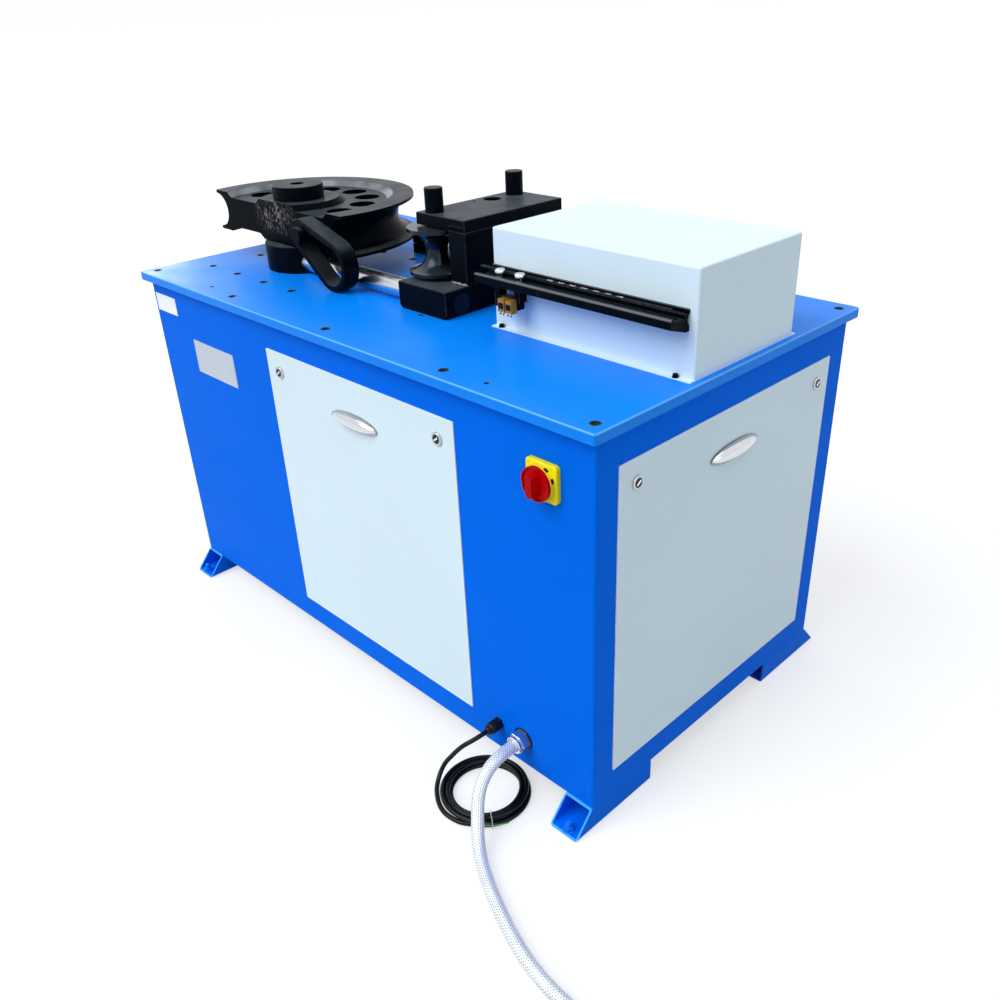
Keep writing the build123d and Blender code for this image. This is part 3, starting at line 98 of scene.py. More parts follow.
# Materials
class Shader:
    """A node material on one Principled surface, with short calls for the nodes that it needs."""

    def __init__(self, name, colour, roughness, metallic=0.0, **sockets):
        self.material = bpy.data.materials.new(name)
        self.material.use_nodes = True
        self.tree = self.material.node_tree
        self.surface = self.tree.nodes["Principled BSDF"]
        self.colour = (*colour, 1)
        self.roughness = roughness
        self.surface.inputs["Base Color"].default_value = self.colour
        self.surface.inputs["Roughness"].default_value = roughness
        self.surface.inputs["Metallic"].default_value = metallic
        for socket, value in sockets.items():
            self.surface.inputs[socket.replace("_", " ")].default_value = value
        self.where = self.add("ShaderNodeTexCoord").outputs["Object"]
        self.bump_chain = None

    def add(self, kind, **inputs):
        node = self.tree.nodes.new(kind)
        for socket, value in inputs.items():
            self.put(node.inputs[socket.replace("_", " ")], value)
        return node

    def put(self, socket, value):
        if isinstance(value, bpy.types.NodeSocket):
            self.tree.links.new(value, socket)
        else:
            socket.default_value = value

    def math(self, operation, first, second=0.0):
        node = self.tree.nodes.new("ShaderNodeMath")
        node.operation = operation
        self.put(node.inputs[0], first)
        self.put(node.inputs[1], second)
        return node.outputs[0]

    def times(self, first, second):
        return self.math("MULTIPLY", first, second)

    def stretched(self, scale):
        node = self.add("ShaderNodeMapping", Vector=self.where)
        node.inputs["Scale"].default_value = scale
        return node.outputs[0]

    def noise(self, scale, detail=2.0, where=None):
        return self.add("ShaderNodeTexNoise", Vector=where or self.where, Scale=scale,
                        Detail=detail).outputs["Fac"]

    def between(self, value, low, high, to_low=0.0, to_high=1.0):
        node = self.add("ShaderNodeMapRange", Value=value)
        for socket, number in zip(("From Min", "From Max", "To Min", "To Max"),
                                  (low, high, to_low, to_high)):
            self.put(node.inputs[socket], number)
        return node.outputs["Result"]

    def tint(self, factor, colour):
        """Lays a colour over what the surface has so far."""
        socket = self.surface.inputs["Base Color"]
        below = socket.links[0].from_socket if socket.links else self.colour
        node = self.tree.nodes.new("ShaderNodeMix")
        node.data_type = "RGBA"
        for place, value in ((0, factor), (6, below), (7, (*colour, 1))):
            self.put(node.inputs[place], value)
        self.put(socket, node.outputs[2])

    def rough(self, factor, to):
        """Moves the roughness towards a value."""
        socket = self.surface.inputs["Roughness"]
        below = socket.links[0].from_socket if socket.links else self.roughness
        self.put(socket, self.between(factor, 0.0, 1.0, below, to))

    def bump(self, height, strength, distance):
        node = self.add("ShaderNodeBump", Height=height, Strength=strength, Distance=distance)
        if self.bump_chain:
            self.put(node.inputs["Normal"], self.bump_chain)
        self.bump_chain = node.outputs["Normal"]
        self.put(self.surface.inputs["Normal"], self.bump_chain)

    def axes(self):
        return self.add("ShaderNodeSeparateXYZ", Vector=self.where).outputs

    def upward(self):
        """One on a level top of the piece, nothing on an upright face."""
        normal = self.add("ShaderNodeTexCoord").outputs["Normal"]
        return self.add("ShaderNodeSeparateXYZ", Vector=normal).outputs["Z"]

    def near(self, axis, value, width):
        """One at a plane across an axis, falling to nothing at a width from it."""
        gap = self.math("ABSOLUTE", self.math("SUBTRACT", axis, value))
        return self.between(gap, 0.0, width, 1.0, 0.0)

    def box_edges(self, low, high, width):
        """One along the twelve edges of a box."""
        sides = []
        for axis, start, end in zip(self.axes(), low, high):
            sides.append(self.math("MAXIMUM", self.near(axis, start, width),
                                   self.near(axis, end, width)))
        pairs = [self.times(sides[i], sides[j]) for i, j in ((0, 1), (0, 2), (1, 2))]
        return self.math("MAXIMUM", self.math("MAXIMUM", pairs[0], pairs[1]), pairs[2])


def paint(name, colour, pale_edge_wear_and_highlight, dirt, edge_box=None, specular=0.15, flake=0.0):
    """Satin powder coat: fine peel, slow drift of colour, a few specks, edges paler with chipping
    and a painted highlight.
    """
    shader = Shader(name, colour, 0.3, flake, Specular_IOR_Level=specular)
    drift = shader.noise(2.6, 3.0)
    shader.tint(shader.between(drift, 0.35, 0.75, 0.0, 0.45), [0.91 * c for c in colour])
    speck = shader.noise(210.0, 1.0)
    shader.tint(shader.between(speck, 0.775, 0.8, 0.0, 0.4), dirt)
    rubbed = shader.noise(7.0, 4.0, shader.stretched((1.0, 1.0, 2.4)))
    shader.rough(shader.between(rubbed, 0.4, 0.7), 0.42)
    if edge_box:
        # Paler along the edges: partly chipped wear, partly a painted highlight
        edge_patchiness = shader.between(shader.noise(60.0, 3.0), 0.3, 0.7, 0.45, 1.0)
        edges = shader.box_edges(*edge_box, 0.003)
        shader.tint(shader.times(edges, edge_patchiness), pale_edge_wear_and_highlight)
    shader.bump(shader.noise(420.0, 2.0), 0.05, 0.0006)
    shader.bump(shader.noise(9.0, 2.0), 0.03, 0.004)
    return shader


def black_steel(name, edge_box=None, scuffs=0.07, roughness=0.34, dust_and_sheen=1.0, level=0.55):
    """Black oxide on machined steel: tool marks, edges paler with rubbing and a painted highlight,
    level tops paler with dust and a painted sheen.
    """
    shader = Shader(name, (0.0012, 0.0022, 0.0045), roughness, Specular_IOR_Level=0.035,
                    Specular_Tint=(0.55, 0.78, 1.0, 1))
    cloud = shader.noise(14.0, 5.0)
    shader.tint(shader.between(cloud, 0.45, 0.8, 0.0, 0.6), (0.0035, 0.0050, 0.0080))
    # Level tops are paler: partly settled dust, partly a painted sheen
    level_top_dust_sheen_mask = shader.between(shader.upward(), level, 0.95, 0.0, dust_and_sheen)
    patches = shader.between(shader.noise(26.0, 6.0), 0.3, 0.7, 0.55, 1.0)
    shader.tint(shader.times(level_top_dust_sheen_mask, patches), (0.060, 0.072, 0.086))
    dust = shader.noise(70.0, 6.0)
    shader.tint(shader.between(dust, 0.64, 0.8, 0.0, scuffs), (0.13, 0.13, 0.13))
    shader.rough(shader.between(cloud, 0.3, 0.7), roughness + 0.12)
    if edge_box:
        # Paler along the edges: partly rubbed wear, partly a painted highlight
        edge_rub_and_highlight = shader.between(shader.noise(85.0, 4.0), 0.35, 0.65, 0.2, 1.0)
        edges = shader.times(shader.box_edges(*edge_box, 0.002), edge_rub_and_highlight)
        shader.tint(edges, (0.06, 0.07, 0.08))
    shader.bump(shader.noise(500.0, 2.0, shader.stretched((0.25, 1.0, 1.0))), 0.08, 0.0004)
    return shader


def bright_metal(name, colour, roughness, brushed=(1.0, 1.0, 1.0), metallic=1.0):
    """Plated or ground metal with fine lines along one way."""
    shader = Shader(name, colour, roughness, metallic=metallic)
    lines = shader.noise(240.0, 4.0, shader.stretched(brushed))
    shader.tint(shader.between(lines, 0.35, 0.75, 0.0, 0.35), [0.72 * c for c in colour])
    smear = shader.noise(18.0, 3.0)
    shader.rough(shader.between(smear, 0.4, 0.75), roughness + 0.12)
    shader.bump(lines, 0.05, 0.0003)
    return shader


def plastic(name, colour, roughness, specular=0.25):
    """Moulded plastic: a little drift in colour and a fine grain."""
    shader = Shader(name, colour, roughness, Specular_IOR_Level=specular)
    shader.tint(shader.between(shader.noise(40.0, 3.0), 0.4, 0.8, 0.0, 0.5),
                [0.75 * c for c in colour])
    shader.rough(shader.between(shader.noise(90.0, 3.0), 0.45, 0.75), roughness + 0.12)
    shader.bump(shader.noise(900.0, 2.0), 0.05, 0.0003)
    return shader


def node_box(name):
    low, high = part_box(name)
    return tuple(low), tuple(high)


def dress(name, shader):
    """Gives a CAD node its material."""
    mesh = nodes[name].data
    mesh.materials.clear()
    mesh.materials.append(shader.material)


blue = (0.0008, 0.149, 0.84)
pale_blue_edge = (0.06, 0.36, 0.98)
dark_blue = (0.002, 0.06, 0.34)
white = (0.74, 0.87, 0.95)
white_edge = (0.95, 0.98, 1.0)
grey_dirt = (0.36, 0.40, 0.44)

dress("cabinet_shell", paint("blue_cabinet", blue, (0.01, 0.20, 0.85), dark_blue,
                             node_box("cabinet_shell"), 0.006, 0.05))

# The feet's sloping sawn ends face partly up and are painted paler: a painted highlight
foot_slope = 0.657
foot_paint = paint("blue_feet", blue, pale_blue_edge, dark_blue, None, 0.01, 0.05)
foot_paint.tint(foot_paint.near(foot_paint.upward(), foot_slope, 0.1), (0.05, 0.36, 1.0))
for place in ("front_left", "front_right", "back_left", "back_right"):
    dress(f"foot_{place}", foot_paint)

# The table's blue is a lighter copy of the cabinet's: painted light on its top. The upright walls
# of its holes are painted near black: painted shade. Its top edge is paler: partly rubbed, partly a
# painted highlight.
table = paint("blue_table", (0.0008, 0.235, 0.92), pale_blue_edge, dark_blue, None, 0.09, 0.03)
table_axes = table.axes()
off_centre = [table.math("ABSOLUTE", axis) for axis in table_axes[:2]]
hole_margin = 0.004
rim_width = 0.003
within = table.times(*[table.math("LESS_THAN", off, half - hole_margin)
                       for off, half in zip(off_centre, table_half)])
# Painted shade: the upright walls of the holes are near black
upright = table.math("LESS_THAN", table.math("ABSOLUTE", table.upward()), 0.5)
table.tint(table.times(within, upright), (0.004, 0.006, 0.010))
# Paler along the top edge: partly rubbed, partly a painted highlight
rim = table.math("MAXIMUM", *[table.between(off, half - rim_width, half)
                              for off, half in zip(off_centre, table_half)])
table.tint(table.times(rim, table.near(table_axes[2], table_top, 0.0035)), (0.22, 0.58, 1.0))
dress("table_plate", table)

for name, coat in (("front_door", "white_front_door"), ("end_door", "white_end_door"),
                   ("cylinder_cover", "white_cover")):
    dress(name, paint(coat, white, white_edge, grey_dirt, node_box(name)))

chrome = bright_metal("chrome", (0.83, 0.85, 0.88), 0.07)
steel = bright_metal("machined_steel", (0.46, 0.48, 0.5), 0.3, (1.0, 1.0, 0.2))
zinc = bright_metal("zinc_plate", (0.50, 0.55, 0.62), 0.25)
nickel = bright_metal("nickel", (0.80, 0.82, 0.80), 0.14)
dress("piston_rod", chrome)
# A darker copy of chrome for the lock heads: painted shade
shaded_lock_chrome = bright_metal("shaded_lock_chrome", (0.50, 0.52, 0.54), 0.1)
for name in ("front_lock_left", "front_lock_right", "end_lock_left", "end_lock_right"):
    dress(name, shaded_lock_chrome)

# Painted shade: each pull is a darker copy of chrome, darker again in a band at its foot where it
# meets the door
for name, along in (("front_pull", 0), ("end_pull", 1)):
    shaded_pull_chrome = bright_metal(f"chrome_{name}", (0.70, 0.72, 0.75), 0.05)
    low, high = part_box(name)
    foot = (low if along else high)[1 - along]
    # Painted shade in a band at the pull's foot
    joint = shaded_pull_chrome.near(shaded_pull_chrome.axes()[1 - along], foot, 0.0045)
    shaded_pull_chrome.tint(shaded_pull_chrome.between(joint, 0.2, 0.35, 0.0, 0.55 + 0.2 * along),
                     (0.07, 0.08, 0.09))
    dress(name, shaded_pull_chrome)

for name in ("spindle_shaft", "cylinder_barrel", "piston", "valve_block", "switch_plunger_left",
             "switch_plunger_right"):
    dress(name, steel)
for name in ("hose_fitting", "hose_connector"):
    dress(name, zinc)
for name in ("thumb_screw_left", "thumb_screw_right"):
    dress(name, nickel)

# The guide rods are ground bright, and their right ends are blacked
ground_rod = bright_metal("ground_rod", (0.66, 0.69, 0.74), 0.2, (0.08, 1.0, 1.0))
rod_end_x = 0.1553
rod_end = ground_rod.math("GREATER_THAN", ground_rod.axes()[0], rod_end_x)
ground_rod.tint(rod_end, (0.012, 0.022, 0.034))
ground_rod.rough(rod_end, 0.5)
for name in ("rod_front", "rod_back"):
    dress(name, ground_rod)

for name in ("carriage_base", "carriage_column", "carriage_plate", "rod_block",
             "switch_holder_left", "switch_holder_right"):
    dress(name, black_steel(f"black_{name}", node_box(name)))
plain_black = black_steel("black_steel")
for name in ("spindle_housing", "spindle_cap", "strap_pin", "roller_pin_front", "roller_pin_back"):
    dress(name, plain_black)

dress("hold_strap", black_steel("black_strap", scuffs=0.05, roughness=0.24, dust_and_sheen=0.8))
roller_black = black_steel("black_roller", scuffs=0.08, roughness=0.14, dust_and_sheen=0.4)
roller_black.surface.inputs["Specular IOR Level"].default_value = 0.4
for name in ("roller_front", "roller_back"):
    dress(name, roller_black)

# The die has a patch of chalky scratches on its flat face, and the bevel of its top is paler:
# partly rubbed polish, partly a painted highlight
die_black = black_steel("black_die", scuffs=0.03, roughness=0.2, dust_and_sheen=0.85, level=0.86)
die_black.surface.inputs["Specular IOR Level"].default_value = 0.015
die_axes = die_black.axes()
flat_face_y = -0.176
chord = die_black.near(die_axes[1], flat_face_y, 0.002)
patch = die_black.times(
    *[die_black.between(die_black.near(die_axes[axis], middle, width), 0.0, 0.6)
      for axis, middle, width in ((0, -0.470, 0.095), (2, 1.000, 0.052))])
flecks = die_black.noise(230.0, 8.0, die_black.stretched((1.0, 1.0, 0.6)))
ragged = die_black.between(die_black.noise(38.0, 5.0), 0.36, 0.6)
flecks = die_black.times(die_black.between(flecks, 0.48, 0.66), ragged)
die_black.tint(die_black.times(die_black.times(chord, patch), flecks), (0.26, 0.235, 0.20))
die_across = [die_black.math("SUBTRACT", axis, place) for axis, place in zip(die_axes, die_axis)]
die_out = die_black.math("SQRT", die_black.math(
    "ADD", *[die_black.times(across, across) for across in die_across]))
bevel_radius = 0.2195
bevel = die_black.times(die_black.near(die_out, bevel_radius, 0.0095),
                        die_black.between(die_black.upward(), 0.2, 0.4))
# Paler bevel: partly rubbed polish, partly a painted highlight
bevel_polish_and_highlight = die_black.between(die_black.noise(16.0, 3.0), 0.3, 0.6, 0.45, 1.0)
die_black.tint(die_black.times(die_black.between(bevel, 0.0, 0.3), bevel_polish_and_highlight), (0.26, 0.28, 0.30))
dress("bending_die", die_black)

# The rail is anodised black with drawn lines; the pale lines along its front top edge and its back
# lip are painted highlights
rail_black = black_steel("black_rail", scuffs=0.1, roughness=0.26, dust_and_sheen=0.25)
rail_axes = rail_black.axes()
drawn_pitch = 0.0045
drawn = rail_black.math("SINE", rail_black.times(rail_axes[1], 2 * math.pi / drawn_pitch))
drawn = rail_black.between(drawn, 0.55, 1.0, 0.0, 0.5)
rail_black.tint(rail_black.times(drawn, rail_black.between(rail_black.upward(), 0.7, 0.95)),
                (0.05, 0.055, 0.06))
rail_front_y = -0.194
rail_front_z = 0.9815
rail_lip_z = 0.9895
# Painted highlight along the front top edge
rail_edge_highlight = rail_black.times(rail_black.near(rail_axes[1], rail_front_y, 0.0045),
                             rail_black.near(rail_axes[2], rail_front_z, 0.004))
rail_black.tint(rail_black.between(rail_edge_highlight, 0.15, 0.6), (0.13, 0.142, 0.15))
# Painted highlight along the back lip
rail_lip = rail_black.near(rail_axes[2], rail_lip_z, 0.0015)
rail_black.tint(rail_black.times(rail_lip, 0.6), (0.12, 0.13, 0.14))
dress("scale_rail", rail_black)

# The main switch's yellow base has two pockets whose insides are painted dark: painted shade
yellow = plastic("yellow_plastic", (0.98, 0.80, 0.012), 0.3, 0.1)
yellow_axes = yellow.axes()
pocket_reach = 0.0315
pocket_half = 0.0048
pocket_y = front_y - 0.0145
for angle in (math.radians(22), math.radians(58)):
    pocket_x = main_switch[0] + pocket_reach * math.cos(angle)
    pocket_z = main_switch[1] + pocket_reach * math.sin(angle)
    pocket = yellow.times(yellow.near(yellow_axes[0], pocket_x, pocket_half),
                          yellow.near(yellow_axes[2], pocket_z, pocket_half))
    pocket = yellow.times(pocket, yellow.near(yellow_axes[1], pocket_y, 0.0034))
    # Painted shade inside the pocket
    yellow.tint(yellow.between(pocket, 0.0, 0.04), (0.09, 0.036, 0.003))

red = plastic("red_plastic", (0.50, 0.0004, 0.002), 0.3, 0.05)
brown = plastic("brown_plastic", (0.42, 0.19, 0.022), 0.34)
black_plastic = plastic("black_plastic", (0.004, 0.004, 0.005), 0.34)
rubber = plastic("black_rubber", (0.0018, 0.0022, 0.003), 0.28, 0.2)
dress("switch_plate", yellow)
dress("switch_knob", red)
dress("limit_switch_left", brown)
dress("limit_switch_right", brown)
dress("isolator", black_plastic)
dress("cable_gland", black_plastic)

dress("control_box", paint("grey_box", (0.5, 0.51, 0.52), (0.7, 0.7, 0.7), grey_dirt))
dress("oil_tank", paint("grey_tank", (0.32, 0.34, 0.35), (0.5, 0.5, 0.5), (0.1, 0.1, 0.1)))
dress("drive_gearbox", paint("grey_gearbox", (0.14, 0.17, 0.19), (0.3, 0.3, 0.3),
                             (0.05, 0.05, 0.05)))
motor_paint = paint("grey_motor", (0.3, 0.33, 0.36), (0.5, 0.5, 0.5), (0.08, 0.08, 0.08))
dress("drive_motor", motor_paint)
dress("pump_motor", motor_paint)


# Cords. Each is one smooth spline through its route and its coil.
def cord_route(exit_x, exit_z, low, steps):
    """Route's points from steps along the front, out from it, and the share of height left."""
    return [Vector((exit_x + along, front_y - out, low + (exit_z - low) * share))
            for along, out, share in steps]


def coil_points(first, radius, low, step, start, turn_sign, quarters_in, quarters):
    """Points of a coil that winds in, climbs a layer and winds out, sixteen to a turn."""
    # The spline runs inside its points by this share, so they stand further out
    pulled_in = 0.981
    turn = math.radians(start)
    middle = first - radius * Vector((math.cos(turn), math.sin(turn), 0))
    points = []
    for sixteenth in range(4 * quarters + 1):
        past = sixteenth / 4 - quarters_in
        angle = math.radians(start + turn_sign * 360 / 16 * sixteenth)
        reach = (radius - step * (quarters_in - abs(past)) / 4) / pulled_in
        height = low + step * min(max((past + 1) / 2, 0), 1)
        spot = (middle.x + reach * math.cos(angle), middle.y + reach * math.sin(angle), height)
        points.append(Vector(spot))
    return points


def spline_object(name, points, resolution):
    curve = bpy.data.curves.new(name, "CURVE")
    curve.dimensions = "3D"
    curve.resolution_u = resolution
    spline = curve.splines.new("NURBS")
    spline.points.add(len(points) - 1)
    for spot, point in zip(spline.points, points):
        spot.co = (*point, 1)
    spline.order_u = 3
    spline.use_endpoint_u = True
    spline.resolution_u = resolution
    return show(bpy.data.objects.new(name, curve))


lead_radius = 0.005
lead_low = 0.0053
lead_coil_radius = 0.092
lead_coil_start = -60
lead_steps = [
    (0, 0.037, 1),
    (0, 0.050, 1),
    (-0.0034, 0.0632, 0.973),
    (-0.0102, 0.075, 0.92),
    (-0.0202, 0.0838, 0.841),
    (-0.0355, 0.0905, 0.669),
    (-0.0495, 0.0968, 0.481),
    (-0.060, 0.1025, 0.337),
    (-0.0638, 0.1098, 0.218),
    (-0.0626, 0.120, 0.111),
    (-0.0568, 0.1316, 0.031),
    (-0.047, 0.1432, 0),
    (-0.033, 0.154, 0),
    (-0.016, 0.165, 0),
    (0.002, 0.1725, 0),
    (0.022, 0.176, 0),
]
lead_first = Vector((gland[0] + 0.079, front_y - 0.1567, lead_low))
lead_coil = coil_points(lead_first, lead_coil_radius, lead_low, 0.0106, lead_coil_start, 1, 8, 16)
lead_tail = (lead_coil[-1] - lead_coil[-2]).normalized() * 0.01
lead_turn = math.radians(lead_coil_start + 90)
lead_heading = Vector((math.cos(lead_turn), math.sin(lead_turn), 0))
lead = spline_object("mains_lead", [
    *cord_route(*gland, lead_low, lead_steps),
    lead_first - lead_heading * 0.03,
    lead_first - lead_heading * 0.01,
    *lead_coil[1:],
    lead_coil[-1] + lead_tail,
], 6)
lead.data.bevel_depth = lead_radius
lead.data.bevel_resolution = 5
lead.data.use_fill_caps = True
lead.data.materials.append(rubber.material)

hose_radius = 0.013
hose_low = 0.0133
hose_coil_radius = 0.157
hose_steps = [
    (0, 0.028, 1),
    (0, 0.057, 1),
    (0.0005, 0.084, 0.963),
    (0.003, 0.110, 0.865),
    (0.009, 0.132, 0.717),
    (0.0195, 0.150, 0.522),
    (0.034, 0.1655, 0.318),
    (0.052, 0.1825, 0.164),
    (0.0745, 0.200, 0.058),
    (0.101, 0.2175, 0.005),
    (0.147, 0.242, 0),
    (0.200, 0.266, 0),
    (0.254, 0.287, 0),
    (0.304, 0.302, 0),
    (0.356, 0.311, 0),
]
hose_first = Vector((fitting[0] + 0.490, front_y - 0.314, hose_low))
hose_coil = coil_points(hose_first, hose_coil_radius, hose_low, 0.027, 90, -1, 5, 10)
hose_tail = (hose_coil[-1] - hose_coil[-2]).normalized() * 0.026
hose_line = spline_object("hose_line", [
    *cord_route(*fitting, hose_low, hose_steps),
    hose_first - Vector((0.080, 0, 0)),
    hose_first - Vector((0.026, 0, 0)),
    *hose_coil[1:],
    hose_coil[-1] + hose_tail,
], 5)


def line_points(curve_object):
    """Points along a curve that has no bevel. The curve itself goes."""
    mesh = bpy.data.meshes.new_from_object(curve_object)
    points = [vertex.co.copy() for vertex in mesh.vertices]
    bpy.data.meshes.remove(mesh)
    bpy.data.objects.remove(curve_object)
    return points


def finish_mesh(name, shape, material, sharp_angle=38):
    """Turns a bmesh into an object, smooth but for its sharp edges."""
    bmesh.ops.recalc_face_normals(shape, faces=shape.faces)
    for face in shape.faces:
        face.smooth = True
    limit = math.radians(sharp_angle)
    for edge in shape.edges:
        if len(edge.link_faces) == 2:
            edge.smooth = edge.calc_face_angle() < limit
    mesh = bpy.data.meshes.new(name)
    shape.to_mesh(mesh)
    shape.free()
    mesh.materials.append(material.material)
    return show(bpy.data.objects.new(name, mesh))


def tube(name, path, radius, sides, material):
    """Closed tube along a path, with coordinates round it, and along it in metres."""
    shape = bmesh.new()
    marks = shape.loops.layers.uv.new("along")
    rings = []
    lengths = [0.0]
    for here, there in zip(path, path[1:]):
        lengths.append(lengths[-1] + (there - here).length)
    across = Vector((0, 0, 1))
    for place, point in enumerate(path):
        ahead = path[min(place + 1, len(path) - 1)] - path[max(place - 1, 0)]
        ahead.normalize()
        across = (across - ahead * across.dot(ahead)).normalized()
        side = ahead.cross(across)
        rings.append([shape.verts.new(point + radius * (math.cos(a) * across + math.sin(a) * side))
                      for a in (2 * math.pi * i / sides for i in range(sides))])
    for place, (low, high) in enumerate(zip(rings, rings[1:])):
        for i in range(sides):
            j = (i + 1) % sides
            face = shape.faces.new((low[i], low[j], high[j], high[i]))
            spots = ((i, place), (i + 1, place), (i + 1, place + 1), (i, place + 1))
            for loop, (around, along) in zip(face.loops, spots):
                loop[marks].uv = (around / sides, lengths[along])
    shape.faces.new(rings[0][::-1])
    shape.faces.new(rings[-1])
    return finish_mesh(name, shape, material, 60)


# Steel braid: bright strands that cross, in rows along the hose, with darker lines along the rows
# and a near-black gap at each crossing, which is painted shade
braid = Shader("steel_braid", (0.88, 0.90, 0.92), 0.36, metallic=0.4)
braid_place = braid.add("ShaderNodeUVMap")
braid_place.uv_map = "along"
around, along, _ = braid.add("ShaderNodeSeparateXYZ", Vector=braid_place.outputs["UV"]).outputs
row_turns = 2 * math.pi * 20
dash_pitch = 0.0060
rows = braid.math("COSINE", braid.times(around, row_turns))
slant = braid.math("ADD", braid.times(along, 2 * math.pi / dash_pitch),
                   braid.times(around, row_turns * 0.5))
dashes = braid.between(braid.math("COSINE", slant), -0.35, 0.35)
gap = braid.times(braid.between(rows, 0.1, 0.8), dashes)
braid.tint(braid.between(braid.math("ABSOLUTE", rows), 0.7, 1.0, 0.0, 0.5), (0.42, 0.45, 0.49))
# Painted shade in the gap at each crossing
braid.tint(braid.between(gap, 0.25, 0.75, 0.0, 0.92), (0.030, 0.034, 0.042))
braid.tint(braid.between(braid.noise(30.0, 3.0), 0.5, 0.8, 0.0, 0.3), (0.95, 0.96, 0.97))
braid.bump(braid.between(gap, 0.0, 0.8, 1.0, 0.0), 0.5, 0.0010)

hose_path = line_points(hose_line)
hose = tube("braided_hose", hose_path, hose_radius, 32, braid)


# Small pieces: turned forms and stacked rounded plates, placed on what carries them
def placed(origin, out, up=(0, 0, 1)):
    """Frame on a face: its third axis points out of the face, its second is the face's own up."""
    out = Vector(out).normalized()
    across = Vector(up).cross(out).normalized()
    turn = Matrix((across, out.cross(across), out)).transposed()
    return Matrix.Translation(origin) @ turn.to_4x4()


def bridge(shape, low, high):
    """Faces between two rings of corners. A ring of one corner closes to a point."""
    count = max(len(low), len(high))
    for i in range(count):
        j = (i + 1) % count
        corners = [low[i % len(low)], low[j % len(low)], high[j % len(high)], high[i % len(high)]]
        corners = list(dict.fromkeys(corners))
        if len(corners) > 2:
            shape.faces.new(corners)


def turned(shape, where, profile, sides=24, ribs=0.0, ring=False):
    """A turned form. Its profile is radius and height from one end to the other."""
    rings = []
    for radius, height in profile:
        spots = [Vector((0, 0, height))]
        if radius:
            spots = []
            for i in range(sides):
                angle = 2 * math.pi * i / sides
                reach = radius - ribs * (i % 2)
                spots.append(Vector((reach * math.cos(angle), reach * math.sin(angle), height)))
        rings.append([shape.verts.new(where @ spot) for spot in spots])
    for low, high in zip(rings, rings[1:]):
        bridge(shape, low, high)
    if ring:
        bridge(shape, rings[-1], rings[0])


def plate(shape, where, width, height, corner, profile):
    """A plate with rounded corners. Its profile is inset and level, from its back to its front."""
    rings = []
    for inset, level in profile:
        curve = max(corner - inset, corner / 4)
        ring = []
        for quarter, (side, rise) in enumerate(((1, 1), (-1, 1), (-1, -1), (1, -1))):
            for step in range(5):
                angle = math.pi / 2 * (quarter + step / 4)
                across = side * (width / 2 - inset - curve) + curve * math.cos(angle)
                up = rise * (height / 2 - inset - curve) + curve * math.sin(angle)
                ring.append(Vector((across, up, level)))
        rings.append([shape.verts.new(where @ spot) for spot in ring])
    for low, high in zip(rings, rings[1:]):
        bridge(shape, low, high)
    shape.faces.new(rings[0][::-1])
    shape.faces.new(rings[-1])


def bead(shape, start, end, radius, ripple):
    """A weld bead: a lumpy run of overlapping drops between two points."""
    start, end = Vector(start), Vector(end)
    ahead = (end - start).normalized()
    across = ahead.cross(Vector((0, 0, 1))).normalized()
    rise = across.cross(ahead)
    steps = max(6, round((end - start).length / 0.0016))
    rings = []
    for step in range(steps + 1):
        share = step / steps
        swell = 1 + 0.16 * math.sin(2 * math.pi * step / 3 + ripple)
        swell += 0.12 * math.sin(0.7 * step + 2 * ripple)
        swell *= 0.25 + 0.75 * min(1, 8 * share, 8 * (1 - share))
        middle = start.lerp(end, share) + rise * 0.0006 * math.sin(0.45 * step + ripple)
        size = radius * swell
        rings.append([shape.verts.new(middle + size * (math.cos(a) * across + math.sin(a) * rise))
                      for a in (math.pi * i / 5 for i in range(10))])
    for low, high in zip(rings, rings[1:]):
        bridge(shape, low, high)
    shape.faces.new(rings[0][::-1])
    shape.faces.new(rings[-1])


def attach(piece, body):
    """Makes a piece ride on a body."""
    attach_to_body(piece, body)
    return piece


front = (0, -1, 0)
right = (1, 0, 0)
above = (0, 0, 1)
back = (0, 1, 0)

# Bare plates on the front, where the machine's own are printed
plate_tin = bright_metal("plate_tin", (0.56, 0.61, 0.70), 0.42, (0.1, 1.0, 1.0), metallic=0.2)
plate_film = paint("plate_film", (0.95, 0.97, 0.99), white_edge, grey_dirt)
shape = bmesh.new()
plate(shape, placed((-0.4750, front_y, 0.6815), front), 0.184, 0.083, 0.0025,
      [(0, 0), (0, 0.0006), (0.0004, 0.0010), (0.0035, 0.0010), (0.0039, 0.0007), (0.0049, 0.0007),
       (0.0053, 0.0010), (0.0060, 0.0010)])
attach(finish_mesh("bare_nameplate", shape, plate_tin), "frame")
shape = bmesh.new()
plate(shape, placed((-0.6755, front_y, 0.7910), front), 0.098, 0.044, 0.002,
      [(0, 0), (0, 0.0005), (0.0003, 0.0007), (0.0025, 0.0007), (0.0028, 0.0005), (0.0034, 0.0005)])
attach(finish_mesh("bare_notice_plate", shape, plate_film), "frame")

# Cap screws with hexagon sockets in the cover's flanges
screw_black = black_steel("screw_black", scuffs=0.05, dust_and_sheen=0.3)
shape = bmesh.new()
for x, y in ((0.2745, -0.148), (0.701, -0.148), (0.2745, 0.179), (0.701, 0.179)):
    spot = placed((x, y, table_top + 0.002), above, back)
    turned(shape, spot, [(0, 0), (0.0062, 0), (0.0062, 0.0008), (0.0050, 0.0010), (0.0050, 0.0055),
                         (0.0045, 0.0062), (0.0030, 0.0062)], 24)
    turned(shape, spot, [(0.0030, 0.0062), (0.0027, 0.0060), (0.0026, 0.0032), (0, 0.0028)], 6)
attach(finish_mesh("cover_screws", shape, screw_black), "frame")

